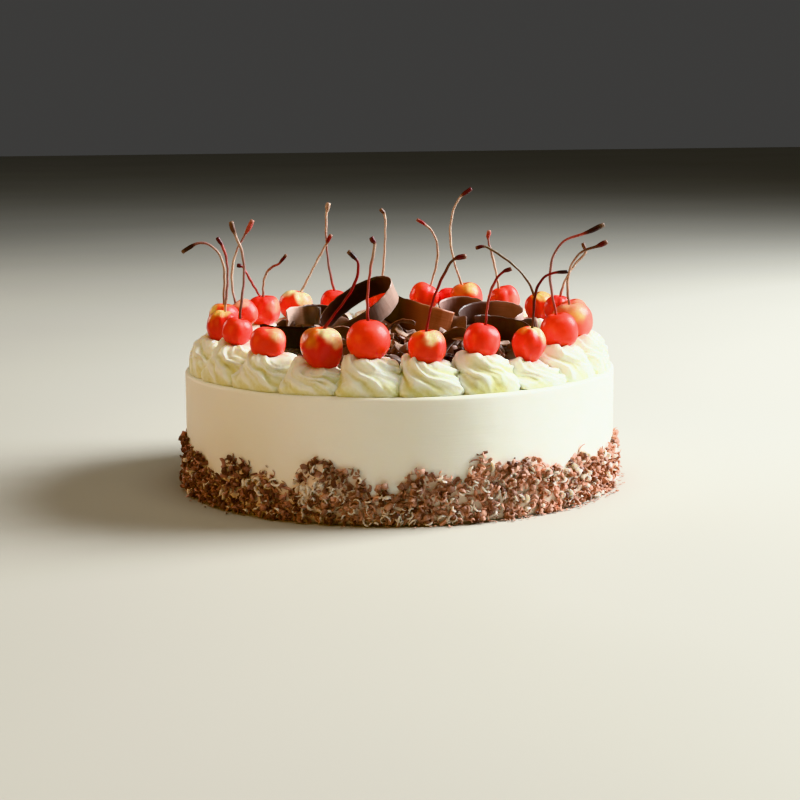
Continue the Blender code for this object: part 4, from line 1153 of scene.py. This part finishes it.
# ---------------------------------------------------------------- flakes
# Painted light: how the flakes' colour shifts from the left (-1) to the right (1) of the cake, shares of red, green and
# blue, following how the warm dim light on the left and the strong light on the right fall.
FLAKE_PAINTED_LIGHT_TINTS = [
    (-1.0, 1.00, 1.04, 1.34), (-0.55, 1.00, 1.06, 1.30), (-0.25, 1.00, 1.13, 1.22), (0.05, 1.01, 1.09, 1.12),
    (0.28, 1.12, 1.12, 1.12), (0.48, 0.97, 0.96, 0.93), (0.66, 1.12, 1.05, 0.98), (0.82, 0.79, 0.67, 0.59),
    (1.0, 0.77, 0.63, 0.53),
]


def flake_top(az):
    """Height of the flakes at an azimuth in degrees, with its fine raggedness."""
    az = (np.asarray(az) + 180.0) % 360.0 - 180.0
    table_az, table_z = np.array(FLAKE_TOP, float).T
    front = np.interp(az, table_az, table_z)
    p = np.stack([105 * np.sin(np.radians(az)), -105 * np.cos(np.radians(az)), 0 * az], 1)
    back = 24.5 + 7.0 * noise(p, 15.0, 77, 2) + 3.0 * noise(p, 5.0, 78, 1)
    share = smoothstep(84.0, 94.0, np.abs(az))
    return front * (1 - share) + back * share + 1.4 * noise(p, 3.0, 79, 1)


def cream_shows(az, height):
    """How much of the coat is left bare among the flakes, 0 to 1."""
    az = np.asarray(az, float)
    p = np.stack([105 * np.sin(np.radians(az)), -105 * np.cos(np.radians(az)), height], 1)
    patch = smoothstep(-0.35, 0.45, noise(p, 7.0, 95, 2))
    foot = 0.9 * np.exp(-((az - 1.0) / 20.0) ** 2) * (1 - smoothstep(6.0, 14.0, height))
    left = 0.95 * np.exp(-((az + 24.0) / 8.0) ** 2) * smoothstep(1.5, 7.0, height)
    right = 0.07 * smoothstep(12.0, 26.0, az) * (1 - smoothstep(80.0, 95.0, az))
    behind = 0.35 * smoothstep(85.0, 100.0, np.abs(az))
    return np.clip(foot + left + right + behind, 0, 1) * patch * (1 - 0.9 * smoothstep(40.0, 52.0, -az) * smoothstep(-100.0, -84.0, az))


def make_smears(mat):
    """Cream pushed out between the flakes when they were pressed on: short,
    bent ridges standing on the coat."""
    rng = np.random.default_rng(640)
    az, z = np.zeros(0), np.zeros(0)
    while len(az) < 650:
        a = rng.uniform(-180, 180, 2000)
        h = rng.uniform(1.0, 27.0, 2000)
        keep = (h < flake_top(a) - 2.5) & (rng.random(2000) < 0.07 + 1.5 * cream_shows(a, h) + 0.06 * (a > 14.0) * (a < 80.0))
        az, z = np.append(az, a[keep]), np.append(z, h[keep])
    az, z = az[:650], z[:650]
    n, ring = 7, 5
    t = np.linspace(-0.5, 0.5, n)
    verts, quads, tris = [], [], []
    outline = np.array([(-1.0, -0.3), (-0.82, 0.66), (0.0, 1.0), (0.82, 0.66), (1.0, -0.3)])
    for k in range(len(az)):
        bend = rng.uniform(1.1, 3.6)
        sweep = min(rng.uniform(2.2, 6.5) / bend, 4.2)
        heading = rng.uniform(0, 2 * math.pi)
        flip = rng.choice([-1.0, 1.0])
        angle = sweep * t * flip + heading
        step = bend * sweep / (n - 1)
        u = np.cumsum(np.cos(angle)) * step
        v = np.cumsum(np.sin(angle)) * step
        u, v = u - u.mean(), v - v.mean()
        swell = 1.0 - 0.75 * np.abs(2 * t) ** 3
        half = rng.uniform(0.34, 0.62) * swell * (1 + 0.2 * np.sin(7 * t + k))
        tall = rng.uniform(2.2, 3.9) * (1.0 - 0.5 * np.abs(2 * t) ** 4)
        side = np.stack([-np.sin(angle), np.cos(angle)], 1)
        around = (u[:, None] + side[:, :1] * half[:, None] * outline[None, :, 0])
        up = (v[:, None] + side[:, 1:] * half[:, None] * outline[None, :, 0]) + z[k]
        out = CAKE_RADIUS + tall[:, None] * np.where(outline[None, :, 1] < 0, 0, outline[None, :, 1]) + np.minimum(outline[None, :, 1], 0)
        up = np.maximum(up, 0.25)
        theta = math.radians(az[k]) + around / CAKE_RADIUS
        p = np.stack([out * np.sin(theta), -out * np.cos(theta), up], -1).reshape(-1, 3)
        base = sum(len(q) for q in verts)
        q = grid_quads(n, ring)
        caps = [[0, i, i + 1] for i in range(1, ring - 1)] + [[(n - 1) * ring, (n - 1) * ring + i + 1, (n - 1) * ring + i] for i in range(1, ring - 1)]
        caps = np.array(caps)
        # outward faces: the signed volume tells which way round they run
        a0, b0, c0 = p[q[:, 0]], p[q[:, 1]], p[q[:, 2]]
        d0 = p[q[:, 3]]
        middle = p.mean(0)
        volume = np.einsum("ij,ij->i", a0 - middle, np.cross(b0 - middle, c0 - middle)).sum() + np.einsum("ij,ij->i", a0 - middle, np.cross(c0 - middle, d0 - middle)).sum()
        if volume < 0:
            q = q[:, ::-1]
        x0, y0, z0 = p[caps[:, 0]], p[caps[:, 1]], p[caps[:, 2]]
        face = np.cross(y0 - x0, z0 - x0)
        facing = np.einsum("ij,ij->i", face, x0 - middle)
        for start, stop in ((0, ring - 2), (ring - 2, 2 * (ring - 2))):
            if facing[start:stop].sum() < 0:
                caps[start:stop] = caps[start:stop, ::-1]
        verts.append(p)
        quads.append(q + base)
        tris.append(caps + base)
    obj = build("foot_cream_ridges", np.vstack(verts), np.vstack(quads), np.vstack(tris), mat)
    return ride(obj, "whipped_cream")


def make_flakes(mat):
    rng = np.random.default_rng(512)

    def tone(p, bit, count, own):
        x = np.zeros(count)
        np.add.at(x, bit, p[:, 0])
        # painted light: each bit is made lighter the further right it sits on the cake, where the lamp from the right
        # falls
        return 0.52 + 1.45 * (own - 0.42) + 0.38 * x / np.bincount(bit, minlength=count) / CAKE_RADIUS

    def places(count, thick, gap_at, low=0.4):
        az = np.zeros(0)
        z = np.zeros(0)
        while len(az) < count:
            a = rng.uniform(-180, 180, 4 * count)
            h = rng.uniform(low, 34, 4 * count)
            top = flake_top(a)
            p = np.stack([105 * np.sin(np.radians(a)), -105 * np.cos(np.radians(a)), h], 1)
            hole = noise(p, 4.2, 91, 2)
            # thinner and more broken towards the top of the band
            rise = h / top
            # the coat shows through more along the foot in front
            bare = 0.30 * cream_shows(a, h) - 0.08 - 0.5 * smoothstep(30.0, 42.0, -a) * smoothstep(-104.0, -88.0, a)
            keep = (h < top) & (hole > -0.66 + 0.26 * smoothstep(0.65, 1.0, rise) + gap_at + bare) & (rng.random(len(a)) > 0.25 * smoothstep(0.8, 1.0, rise))
            az = np.append(az, a[keep])
            z = np.append(z, h[keep])
        az, z = az[:count], z[:count]
        foot = np.exp(-z / 4.0)
        r = CAKE_RADIUS + thick[0] + (thick[1] - thick[0]) * rng.random(count) ** 1.4 + 1.6 * foot * rng.random(count)
        rad = np.radians(az)
        return az, np.stack([r * np.sin(rad), -r * np.cos(rad), z], 1)

    def against(az, tilt_wide):
        """Turns that lay a bit's broad side against the cake, then tip it about."""
        out = []
        for a, roll, tip, yaw in zip(az, rng.uniform(0, 360, len(az)), rng.normal(0, tilt_wide, len(az)), rng.normal(0, tilt_wide, len(az))):
            out.append(rotate("Z", a) @ rotate("X", 90) @ rotate("Y", tip) @ rotate("X", yaw) @ rotate("Z", roll))
        return np.array(out)

    groups = []
    n = 1560                                          # curled flakes, lying every way
    az, p = places(n, (0.5, 2.6), 0.05)
    groups.append(bent_bits(rng, p, rotations(rng, n), rng.uniform(0.8, 1.8, n), np.radians(rng.uniform(120, 300, n)),
                            rng.uniform(1.3, 3.1, n), rng.uniform(0.40, 0.70, n), 7, 1, 0.25, 0.2))
    n = 1900                                          # gently bent ones laid against the coat
    az, p = places(n, (0.1, 1.3), 0.0)
    bend = rng.uniform(1.6, 5.0, n)
    groups.append(bent_bits(rng, p, against(az, 24), bend, rng.uniform(2.6, 6.0, n) / bend, rng.uniform(1.1, 2.4, n),
                            rng.uniform(0.30, 0.5, n), 5, 1, 0.12, 0.0))
    keep_in(groups)
    curled = join_bits("foot_flakes_curled", groups, mat, rng, tone, FLAKE_PAINTED_LIGHT_TINTS)
    ride(curled, "chocolate")

    groups = []
    n = 2700                                          # thin slivers and grated bits that fill in between
    az, p = places(n, (0.0, 1.1), 0.0, 0.2)
    bend = rng.uniform(1.2, 4.0, n)
    groups.append(bent_bits(rng, p, against(az, 38), bend, rng.uniform(1.2, 4.2, n) / bend, rng.uniform(0.5, 1.3, n),
                            rng.uniform(0.25, 0.4, n), 4, 1, 0.15, 0.0))
    # a few that dropped off, round the foot
    n = 150
    a = np.where(rng.random(n) < 0.6, rng.normal(48, 24, n), rng.uniform(-180, 180, n))
    r = CAKE_RADIUS + 2.2 + 4.0 * rng.random(n) ** 1.8
    p = np.stack([r * np.sin(np.radians(a)), -r * np.cos(np.radians(a)), np.full(n, 0.55)], 1)
    turns = np.array([rotate("Z", s) @ rotate("X", x) for s, x in zip(rng.uniform(0, 360, n), rng.normal(0, 14, n))])
    bend = rng.uniform(1.0, 3.0, n)
    groups.append(bent_bits(rng, p, turns, bend, rng.uniform(0.8, 2.4, n) / bend, rng.uniform(0.5, 1.1, n),
                            rng.uniform(0.25, 0.4, n), 4, 1, 0.1, 0.0))
    keep_in(groups)
    slivers = join_bits("foot_flakes_slivers", groups, mat, rng, tone, FLAKE_PAINTED_LIGHT_TINTS)
    ride(slivers, "chocolate")
    return curled, slivers


def keep_in(groups):
    """Pulls bits that reach into the floor up onto it."""
    for g in groups:
        p, bit = g[0], g[2]
        low = np.full(bit.max() + 1, 1e9)
        np.minimum.at(low, bit, p[:, 2])
        p[:, 2] += np.maximum(0.05 - low, 0.0)[bit]


# ---------------------------------------------------------------- all of it
def main():
    cream, piped = cream_coat(), cream_piped()
    skin, stem = cherry_skin(), stem_skin()
    curls = {name: dark_chocolate("chocolate_" + name, *CURL_LIT_AND_SHADED_TONES[name]) if name in CURL_LIT_AND_SHADED_TONES else None for name in CURLS}
    curl = dark_chocolate("chocolate_curls")
    # painted shade: the heap's core is given darker chocolate than the shavings, for the shade deep in the heap
    core = small_chocolate("heap_core_chocolate", (40, 24, 20), (96, 62, 50))
    shaving = small_chocolate("shaving_chocolate", (52, 30, 25), (156, 112, 96), (0.42, 0.6))
    flake = small_chocolate("flake_chocolate", (90, 52, 44), (234, 178, 154), (0.42, 0.62), painted_light_tinted=True)

    make_coat(cream)
    make_smears(cream_smeared_and_bounce())
    for index in range(SWIRLS):
        make_swirl(index, piped)
    for number in range(1, len(PLACES) + 1):
        make_cherry(number, skin)
    for index, row in enumerate(STEMS):
        make_stem(index, row, stem)
    for name, spec in CURLS.items():
        make_curl(name, spec, curls[name] or curl)
    make_heap(core, shaving, small_chocolate("pale_shaving_chocolate", (146, 112, 94), (214, 184, 164), (0.45, 0.6)))
    make_flakes(flake)


def light(name, place, target, size, power, colour, size_y=None):
    lamp = bpy.data.lights.new(name, "AREA")
    lamp.shape = "RECTANGLE" if size_y else "SQUARE"
    lamp.size = size
    if size_y:
        lamp.size_y = size_y
    lamp.energy = power
    lamp.color = colour
    obj = bpy.data.objects.new(name, lamp)
    bpy.context.scene.collection.objects.link(obj)
    obj.location = place
    obj.rotation_mode = "QUATERNION"
    obj.rotation_quaternion = (Vector(target) - Vector(place)).to_track_quat("-Z", "Y")
    return obj


def stage():
    size = 6.0
    verts = np.array([[-size, -size, 0], [size, -size, 0], [size, size, 0], [-size, size, 0]]) / MM
    verts[:, 2] = -0.15
    s = Shader("studio_floor", Roughness=0.6, Specular_IOR_Level=0.2)
    cloud = s.noise(s.position(), 2.0, 2.0)
    s.out(Base_Color=s.mix(s.range(cloud, 0.3, 0.7), lin(190, 187, 178), lin(184, 181, 172)))
    floor = build("studio_floor", verts, [[0, 1, 2, 3]], None, s.mat)

    world = bpy.data.worlds.new("studio")
    bpy.context.scene.world = world
    world.use_nodes = True
    back = next(n for n in world.node_tree.nodes if n.type == "BACKGROUND")
    back.inputs["Color"].default_value = (1.0, 0.99, 0.97, 1)
    back.inputs["Strength"].default_value = 0.085

    # a broad window-like light from the right, a large dim one above the front,
    # and a weak warm one from the left
    light("key", (1.22, 0.28, 0.82), (0, 0, 0.06), 0.8, 66.0, (0.95, 1.0, 1.02))
    light("top_fill", (0.18, -0.50, 1.7), (0.02, 0.0, 0.06), 1.5, 9.0, (1.0, 0.95, 0.76), 1.1)
    light("left_fill", (-1.26, -0.74, 0.45), (0.0, 0.0, 0.05), 1.1, 6.1, (1.0, 0.50, 0.14), 0.8)
    light("left_rim", (-1.1, 0.9, 0.45), (0, 0, 0.06), 0.5, 3.0, (1.0, 0.93, 0.82))

    camera = bpy.data.cameras.new("camera")
    camera.lens, camera.sensor_width = 81.0, 36.0
    camera.clip_start, camera.clip_end = 0.01, 100.0
    obj = bpy.data.objects.new("camera", camera)
    bpy.context.scene.collection.objects.link(obj)
    obj.matrix_world = (Matrix.Translation((0.000355, -0.87996, 0.18454)) @ Matrix.Rotation(math.pi / 2 - 0.1639, 4, "X")
                        @ Matrix.Rotation(-0.0118, 4, "Z"))
    bpy.context.scene.camera = obj
    bpy.context.scene.view_settings.view_transform = "Khronos PBR Neutral"


main()
stage()
bpy.context.view_layer.update()
